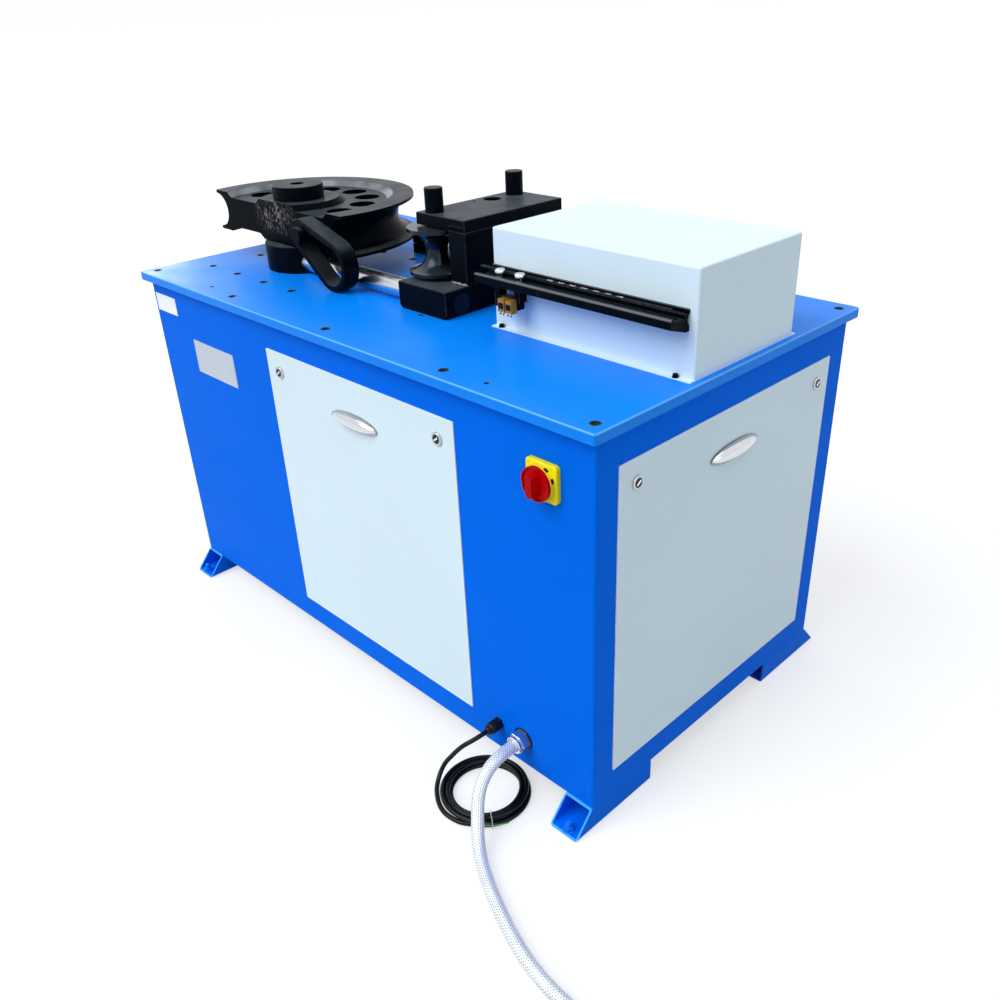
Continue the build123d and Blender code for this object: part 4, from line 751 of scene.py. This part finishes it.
# Sliding scale on the rail's ledge, with plain degrees
scale_box = ((0.228, -0.1545, 0.982), (0.689, -0.1475, 0.9852))
scale_black = black_steel("scale_black", scale_box, 0.05, 0.3, 0.3)
shape = bmesh.new()
plate(shape, placed((0.4585, -0.151, 0.982), above, back), 0.461, 0.007, 0.0012,
      [(0, 0), (0, 0.0027), (0.0005, 0.0032), (0.0008, 0.0032)])
attach(finish_mesh("scale_strip", shape, scale_black), "frame")
white_ink = plastic("white_ink", (0.72, 0.74, 0.76), 0.5)
shape = bmesh.new()
for step in range(7):
    letters = bpy.data.curves.new("degrees", "FONT")
    letters.body = f"{30 * step:03d}"
    letters.size = 0.0080
    letters.offset = 0.00014
    letters.space_character = 1.25
    letters.align_x = "CENTER"
    letters.align_y = "CENTER"
    letters.extrude = 0.00012
    letters.resolution_u = 3
    holder = show(bpy.data.objects.new("degrees", letters))
    bpy.context.view_layer.update()
    digits = bpy.data.meshes.new_from_object(holder)
    digits.transform(placed((0.412 + 0.0277 * step, -0.151, 0.98525), above, back))
    shape.from_mesh(digits)
    bpy.data.meshes.remove(digits)
    bpy.data.objects.remove(holder)
attach(finish_mesh("scale_digits", shape, white_ink), "frame")

# Threads in the table's bolt holes, and a thin ring round each hole's mouth, all near black:
# painted shade in the holes
hole_shade_thread_steel = bright_metal("hole_shade_thread_steel", (0.003, 0.005, 0.009), 0.45, metallic=0.3)
hole_places = [(x, side * 0.381) for x in (-0.721, -0.363, 0, 0.363, 0.721) for side in (-1, 1)]
hole_places += [(die_axis[0] + x, die_axis[1] + y) for x in (-0.177, -0.059, 0.059, 0.177)
                for y in (-0.166, 0.194)]
hole_places += [(die_axis[0] + x, die_axis[1] + y) for x in (-0.177, 0.177)
                for y in (-0.028, 0.056)]
small_hole_places = ((-0.473, -0.371), (0.469, -0.375), (0.083, -0.198))
thread_profile = [(0.0104, 0.0001), (0.0100, 0.0003), (0.0080, 0.0003), (0.0073, 0.0000),
                  (0.0070, -0.0010)]
for turn in range(8):
    thread_profile += [(0.0074, -0.0020 - 0.0018 * turn), (0.0066, -0.0029 - 0.0018 * turn)]
shape = bmesh.new()
for x, y in hole_places:
    turned(shape, placed((x, y, table_top), above, back), thread_profile, 24)
for x, y in small_hole_places:
    turned(shape, placed((x, y, table_top), above, back), [
        (0.0052, 0.0001), (0.0049, 0.0003), (0.0038, 0.0003), (0.0033, -0.0002),
        (0.0033, -0.0090)], 20)
attach(finish_mesh("hole_threads", shape, hole_shade_thread_steel, 70), "frame")

# Anchor bolts in the open feet, painted over with them
shape = bmesh.new()
for side_x in (-1, 1):
    for side_y in (-1, 1):
        spot = placed((side_x * 0.704, side_y * 0.4315, 0.004), above, back)
        turned(shape, spot, [(0, 0), (0.0125, 0), (0.0125, 0.0016), (0.0118, 0.0022),
                             (0, 0.0022)], 28)
        turned(shape, spot, [(0, 0.0022), (0.0098, 0.0022), (0.0104, 0.0030), (0.0104, 0.0086),
                             (0.0094, 0.0096), (0, 0.0096)], 6)
        stud = [(0, 0.0096), (0.0056, 0.0096)]
        for turn in range(5):
            stud += [(0.0058, 0.0106 + 0.0018 * turn), (0.0050, 0.0115 + 0.0018 * turn)]
        turned(shape, spot, [*stud, (0.0056, 0.0196), (0.0046, 0.0208), (0, 0.0208)], 16)
bolt_paint = paint("blue_bolts", (0.006, 0.18, 0.80), pale_blue_edge, dark_blue, None, 0.03)
attach(finish_mesh("anchor_bolts", shape, bolt_paint), "frame")

# Weld beads: the one at the column's front foot is paler and those under the top plate are black:
# painted light and shade on one weld
lit_weld_grey = bright_metal("lit_weld_grey", (0.13, 0.135, 0.13), 0.36)
shape = bmesh.new()
bead(shape, (0.1060, -0.1290, 0.9240), (0.1585, -0.1292, 0.9240), 0.0046, 0.4)
attach(finish_mesh("column_foot_bead", shape, lit_weld_grey, 60), "carriage")
shape = bmesh.new()
bead(shape, (0.1060, -0.1285, 1.0385), (0.1540, -0.1285, 1.0385), 0.0040, 1.7)
bead(shape, (0.1562, -0.1240, 0.9238), (0.1562, 0.1580, 0.9238), 0.0032, 0.9)
attach(finish_mesh("column_beads", shape, screw_black, 60), "carriage")

# Limit switches: dark windows and the terminals below them
window_dark = plastic("window_dark", (0.004, 0.007, 0.014), 0.2, 0.15)
for side, x in (("left", 0.3183), ("right", 0.3383)):
    body = f"{side}_holder"
    shape = bmesh.new()
    plate(shape, placed((x, -0.1886, 0.92855), front), 0.0130, 0.0116, 0.0010,
          [(0.0012, 0), (0.0012, 0.0013), (0, 0.0016), (0, 0.0020), (0.0005, 0.0023),
           (0.0011, 0.0023), (0.0015, 0.0019), (0.0020, 0.0019)])
    attach(finish_mesh(f"switch_window_{side}", shape, window_dark), body)
    shape = bmesh.new()
    for step in (-1, 1):
        pin = placed((x + 0.0040 * step, -0.1868, 0.9172), (0, -0.55, -0.85), back)
        turned(shape, pin, [(0, 0), (0.0026, 0), (0.0026, 0.0036), (0.0020, 0.0047),
                            (0, 0.0047)], 16)
    attach(finish_mesh(f"switch_terminals_{side}", shape, nickel), body)
    shape = bmesh.new()
    for step in (-1, 1):
        pin = placed((x + 0.0040 * step, -0.1858, 0.9162), (0, -0.3, -0.95), back)
        turned(shape, pin, [(0, 0), (0.0017, 0), (0.0018, 0.0050), (0.0012, 0.0062),
                            (0, 0.0062)], 12)
    attach(finish_mesh(f"switch_sleeves_{side}", shape, rubber), body)

# Locks: a black core with a bright wing across it, on each lock's own axis
wing_turn = Matrix.Rotation(math.radians(35), 4, "Z")
axis_of = {joint["child"]: joint["pos_m"] for joint in frame["joints"] if "pos_m" in joint}
for name, body, out in (("front_lock_left", "front_left_lock", front),
                        ("front_lock_right", "front_right_lock", front),
                        ("end_lock_left", "end_left_lock", right),
                        ("end_lock_right", "end_right_lock", right)):
    low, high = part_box(name)
    middle = Vector(axis_of[body])
    if out == front:
        middle.y = low.y
    else:
        middle.x = high.x
    spot = placed(middle, out)
    shape = bmesh.new()
    turned(shape, spot, [(0, -0.0016), (0.0092, -0.0016), (0.0092, 0.0002), (0.0086, 0.0006),
                         (0.0076, 0.0006), (0.0070, 0.0001), (0, 0.0001)], 28)
    attach(finish_mesh(f"{name}_core", shape, black_plastic), body)
    shape = bmesh.new()
    plate(shape, spot @ wing_turn, 0.0128, 0.0034, 0.0012,
          [(0, 0), (0, 0.0010), (0.0006, 0.0016), (0.0009, 0.0016)])
    attach(finish_mesh(f"{name}_wing", shape, chrome), body)

# Knurled caps over the thumb screws' heads
for side in ("left", "right"):
    body = f"{side}_thumb_screw"
    _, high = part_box(f"thumb_screw_{side}")
    spot = placed((*axis_of[body][:2], high.z), above, back)
    shape = bmesh.new()
    turned(shape, spot, [(0.0092, -0.0056), (0.0103, -0.0048), (0.0103, 0.0010), (0.0094, 0.0022)],
           48, 0.0004)
    turned(shape, spot, [(0.0092, 0.0022), (0.0070, 0.0027), (0, 0.0028)], 48)
    attach(finish_mesh(f"thumb_cap_{side}", shape, nickel), body)

# Main switch: the dark screw in the middle of the knob's grip
knob_low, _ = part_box("switch_knob")
shape = bmesh.new()
turned(shape, placed((main_switch[0], knob_low.y, main_switch[1]), front),
       [(0, -0.0004), (0.0030, -0.0004), (0.0030, 0.0002), (0.0022, 0.0004), (0.0014, 0.0000),
        (0, 0.0000)], 20)
attach(finish_mesh("knob_screw", shape, black_plastic), "main_knob")

# Gland's ribbed cap, the fitting's gasket and its bright lip
gland_spot = placed((gland[0], front_y, gland[1]), front)
fitting_spot = placed((fitting[0], front_y, fitting[1]), front)
shape = bmesh.new()
turned(shape, gland_spot, [(0.0112, 0.0150), (0.0128, 0.0160), (0.0128, 0.0262), (0.0116, 0.0290),
                           (0.0098, 0.0300)], 40, 0.0007)
turned(shape, gland_spot, [(0.0098, 0.0300), (0.0102, 0.0320), (0.0086, 0.0352), (0.0062, 0.0375),
                           (0.0052, 0.0380)], 40)
attach(finish_mesh("gland_cap", shape, black_plastic), "frame")
shape = bmesh.new()
turned(shape, fitting_spot, [(0.0190, 0.0002), (0.0246, 0.0002), (0.0252, 0.0010),
                             (0.0248, 0.0026), (0.0190, 0.0028)], 40, ring=True)
attach(finish_mesh("fitting_gasket", shape, rubber), "frame")
shape = bmesh.new()
turned(shape, fitting_spot,
       [(0.0134, 0.0230), (0.0134, 0.0284), (0.0146, 0.0296), (0.0172, 0.0296), (0.0188, 0.0284),
        (0.0190, 0.0256), (0.0184, 0.0230)], 40, ring=True)
attach(finish_mesh("fitting_lip", shape, chrome), "frame")

# The lead ends bare: its three cores, and the white tie that holds the coil
lead_middle = Vector((lead_first.x - lead_coil_radius * math.cos(math.radians(lead_coil_start)),
                      lead_first.y - lead_coil_radius * math.sin(math.radians(lead_coil_start)), 0))


def beside_coil(middle, angle, reach, height):
    """A point at an angle round a coil's axis."""
    turn = math.radians(angle)
    return middle + Vector((reach * math.cos(turn), reach * math.sin(turn), height))


core_green = plastic("core_green", (0.06, 0.40, 0.10), 0.4)
core_blue = plastic("core_blue", (0.02, 0.09, 0.40), 0.4)
core_brown = plastic("core_brown", (0.16, 0.06, 0.02), 0.4)
tie_white = plastic("tie_white", (0.78, 0.82, 0.82), 0.4)
lead_end_reach = 0.0945
lead_pieces = []
for name, shader, reach, end_angle in (("green", core_green, 0.1000, -17),
                                       ("blue", core_blue, 0.0955, -38),
                                       ("brown", core_brown, 0.0925, -34)):
    line = spline_object("core_line", [
        lead_coil[-1] - lead_tail,
        lead_coil[-1] + lead_tail,
        beside_coil(lead_middle, -50, lead_end_reach + 0.3 * (reach - lead_end_reach), 0.0150),
        beside_coil(lead_middle, -42, reach, 0.0126),
        beside_coil(lead_middle, 0.5 * (end_angle - 42), reach + 0.002, 0.0122),
        beside_coil(lead_middle, end_angle, reach + 0.004, 0.0120),
    ], 6)
    lead_pieces.append(tube(f"lead_core_{name}", line_points(line), 0.0014, 10, shader))


def tie_loop(name, middle, angle, inner, outer, high, thickness, shader):
    """A tie pulled round a coil's turns, in a plane through the coil's axis."""
    half_way = (inner + outer) / 2
    corners = ((half_way, high), (outer, high), (outer, 0.5 * high), (outer, thickness),
               (half_way, thickness), (inner, thickness), (inner, 0.5 * high), (inner, high),
               (half_way - 0.001, high))
    line = spline_object("tie_line", [beside_coil(middle, angle, reach, height)
                                      for reach, height in corners], 6)
    return tube(name, line_points(line), thickness, 10, shader)


lead_pieces.append(tie_loop("lead_tie", lead_middle, -36, 0.0648, 0.1016, 0.0223, 0.0009,
                            tie_white))
for piece in lead_pieces:
    attach(piece, "frame")
hose_middle = hose_first - Vector((0, hose_coil_radius, hose_low))
hose_tie = tie_loop("hose_tie", hose_middle, 205, 0.1228, 0.1562, 0.0549, 0.0014, black_plastic)
attach(hose_tie, "frame")

# Cords ride with the frame
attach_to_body(lead, "frame")
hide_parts("mains_cable", "mains_coil")
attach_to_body(hose, "frame")
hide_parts("hose", "hose_coil")


# Floor and light. What the camera and mirrors see round the object is white.
def seen_directly(tree):
    """One for the camera's rays and for those that metal and glass send on."""
    path = tree.nodes.new("ShaderNodeLightPath")
    either = path.outputs["Is Camera Ray"]
    for other in ("Is Glossy Ray", "Is Transmission Ray"):
        node = tree.nodes.new("ShaderNodeMath")
        node.operation = "MAXIMUM"
        tree.links.new(either, node.inputs[0])
        tree.links.new(path.outputs[other], node.inputs[1])
        either = node.outputs[0]
    return either


floor_reach = 60
floor_drop = 0.0005
floor_glow = 0.58
floor_mesh = bpy.data.meshes.new("floor")
floor_mesh.from_pydata([(side * floor_reach, away * floor_reach, 0)
                        for side, away in ((-1, -1), (1, -1), (1, 1), (-1, 1))], [], [(0, 1, 2, 3)])
floor = show(bpy.data.objects.new("floor", floor_mesh))
floor.location.z = -floor_drop
floor_shader = Shader("floor", (0.42, 0.42, 0.42), 0.8, Specular_IOR_Level=0.0)
floor_shader.tint(floor_shader.between(floor_shader.noise(3.0), 0.3, 0.8, 0.0, 0.4),
                  (0.44, 0.44, 0.44))
floor_shader.surface.inputs["Emission Color"].default_value = (1, 1, 1, 1)
glow = floor_shader.times(seen_directly(floor_shader.tree), floor_glow)
floor_shader.put(floor_shader.surface.inputs["Emission Strength"], glow)
floor_mesh.materials.append(floor_shader.material)
floor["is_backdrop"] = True

world = bpy.data.worlds.new("world")
bpy.context.scene.world = world
world.use_nodes = True
world_tree = world.node_tree
sky = world_tree.nodes["Background"]
sky.inputs["Color"].default_value = (0.92, 0.96, 1.0, 1)
sky.inputs["Strength"].default_value = 0.4
white_room = world_tree.nodes.new("ShaderNodeBackground")
white_room.inputs["Color"].default_value = (1, 1, 1, 1)
either_sky = world_tree.nodes.new("ShaderNodeMixShader")
for place, source in enumerate((seen_directly(world_tree), sky.outputs[0], white_room.outputs[0])):
    world_tree.links.new(source, either_sky.inputs[place])
world_tree.links.new(either_sky.outputs[0], world_tree.nodes["World Output"].inputs[0])


def lamp(data, toward):
    """Puts a lamp in the scene, turned to shine along a direction."""
    made = show(bpy.data.objects.new(data.name, data))
    made.rotation_mode = "QUATERNION"
    made.rotation_quaternion = Vector(toward).to_track_quat("-Z", "Y")
    return made


for name, toward, strength, spread, colour in (
        ("top_light", (0.05, 0.1, -1.0), 0.95, 80, (1.0, 1.0, 1.0)),
        ("front_light", (0.35, 1.0, -1.05), 2.1, 44, (0.92, 0.97, 1.0)),
        ("end_light", (-1.0, 0.15, -0.5), 0.46, 60, (0.76, 0.95, 1.0))):
    sun = bpy.data.lights.new(name, "SUN")
    sun.energy = strength
    sun.angle = math.radians(spread)
    sun.color = colour
    lamp(sun, toward)

# A soft box behind the left end, which the table's front left corner mirrors
soft_box = bpy.data.lights.new("corner_light", "AREA")
soft_box.shape = "RECTANGLE"
soft_box.size = 0.9
soft_box.size_y = 1.0
soft_box.energy = 22
soft_box_place = Vector((-4.25, 0.83, 1.75))
table_corner = Vector((-0.72, -0.40, table_top))
lamp(soft_box, table_corner - soft_box_place).location = soft_box_place

low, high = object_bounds()
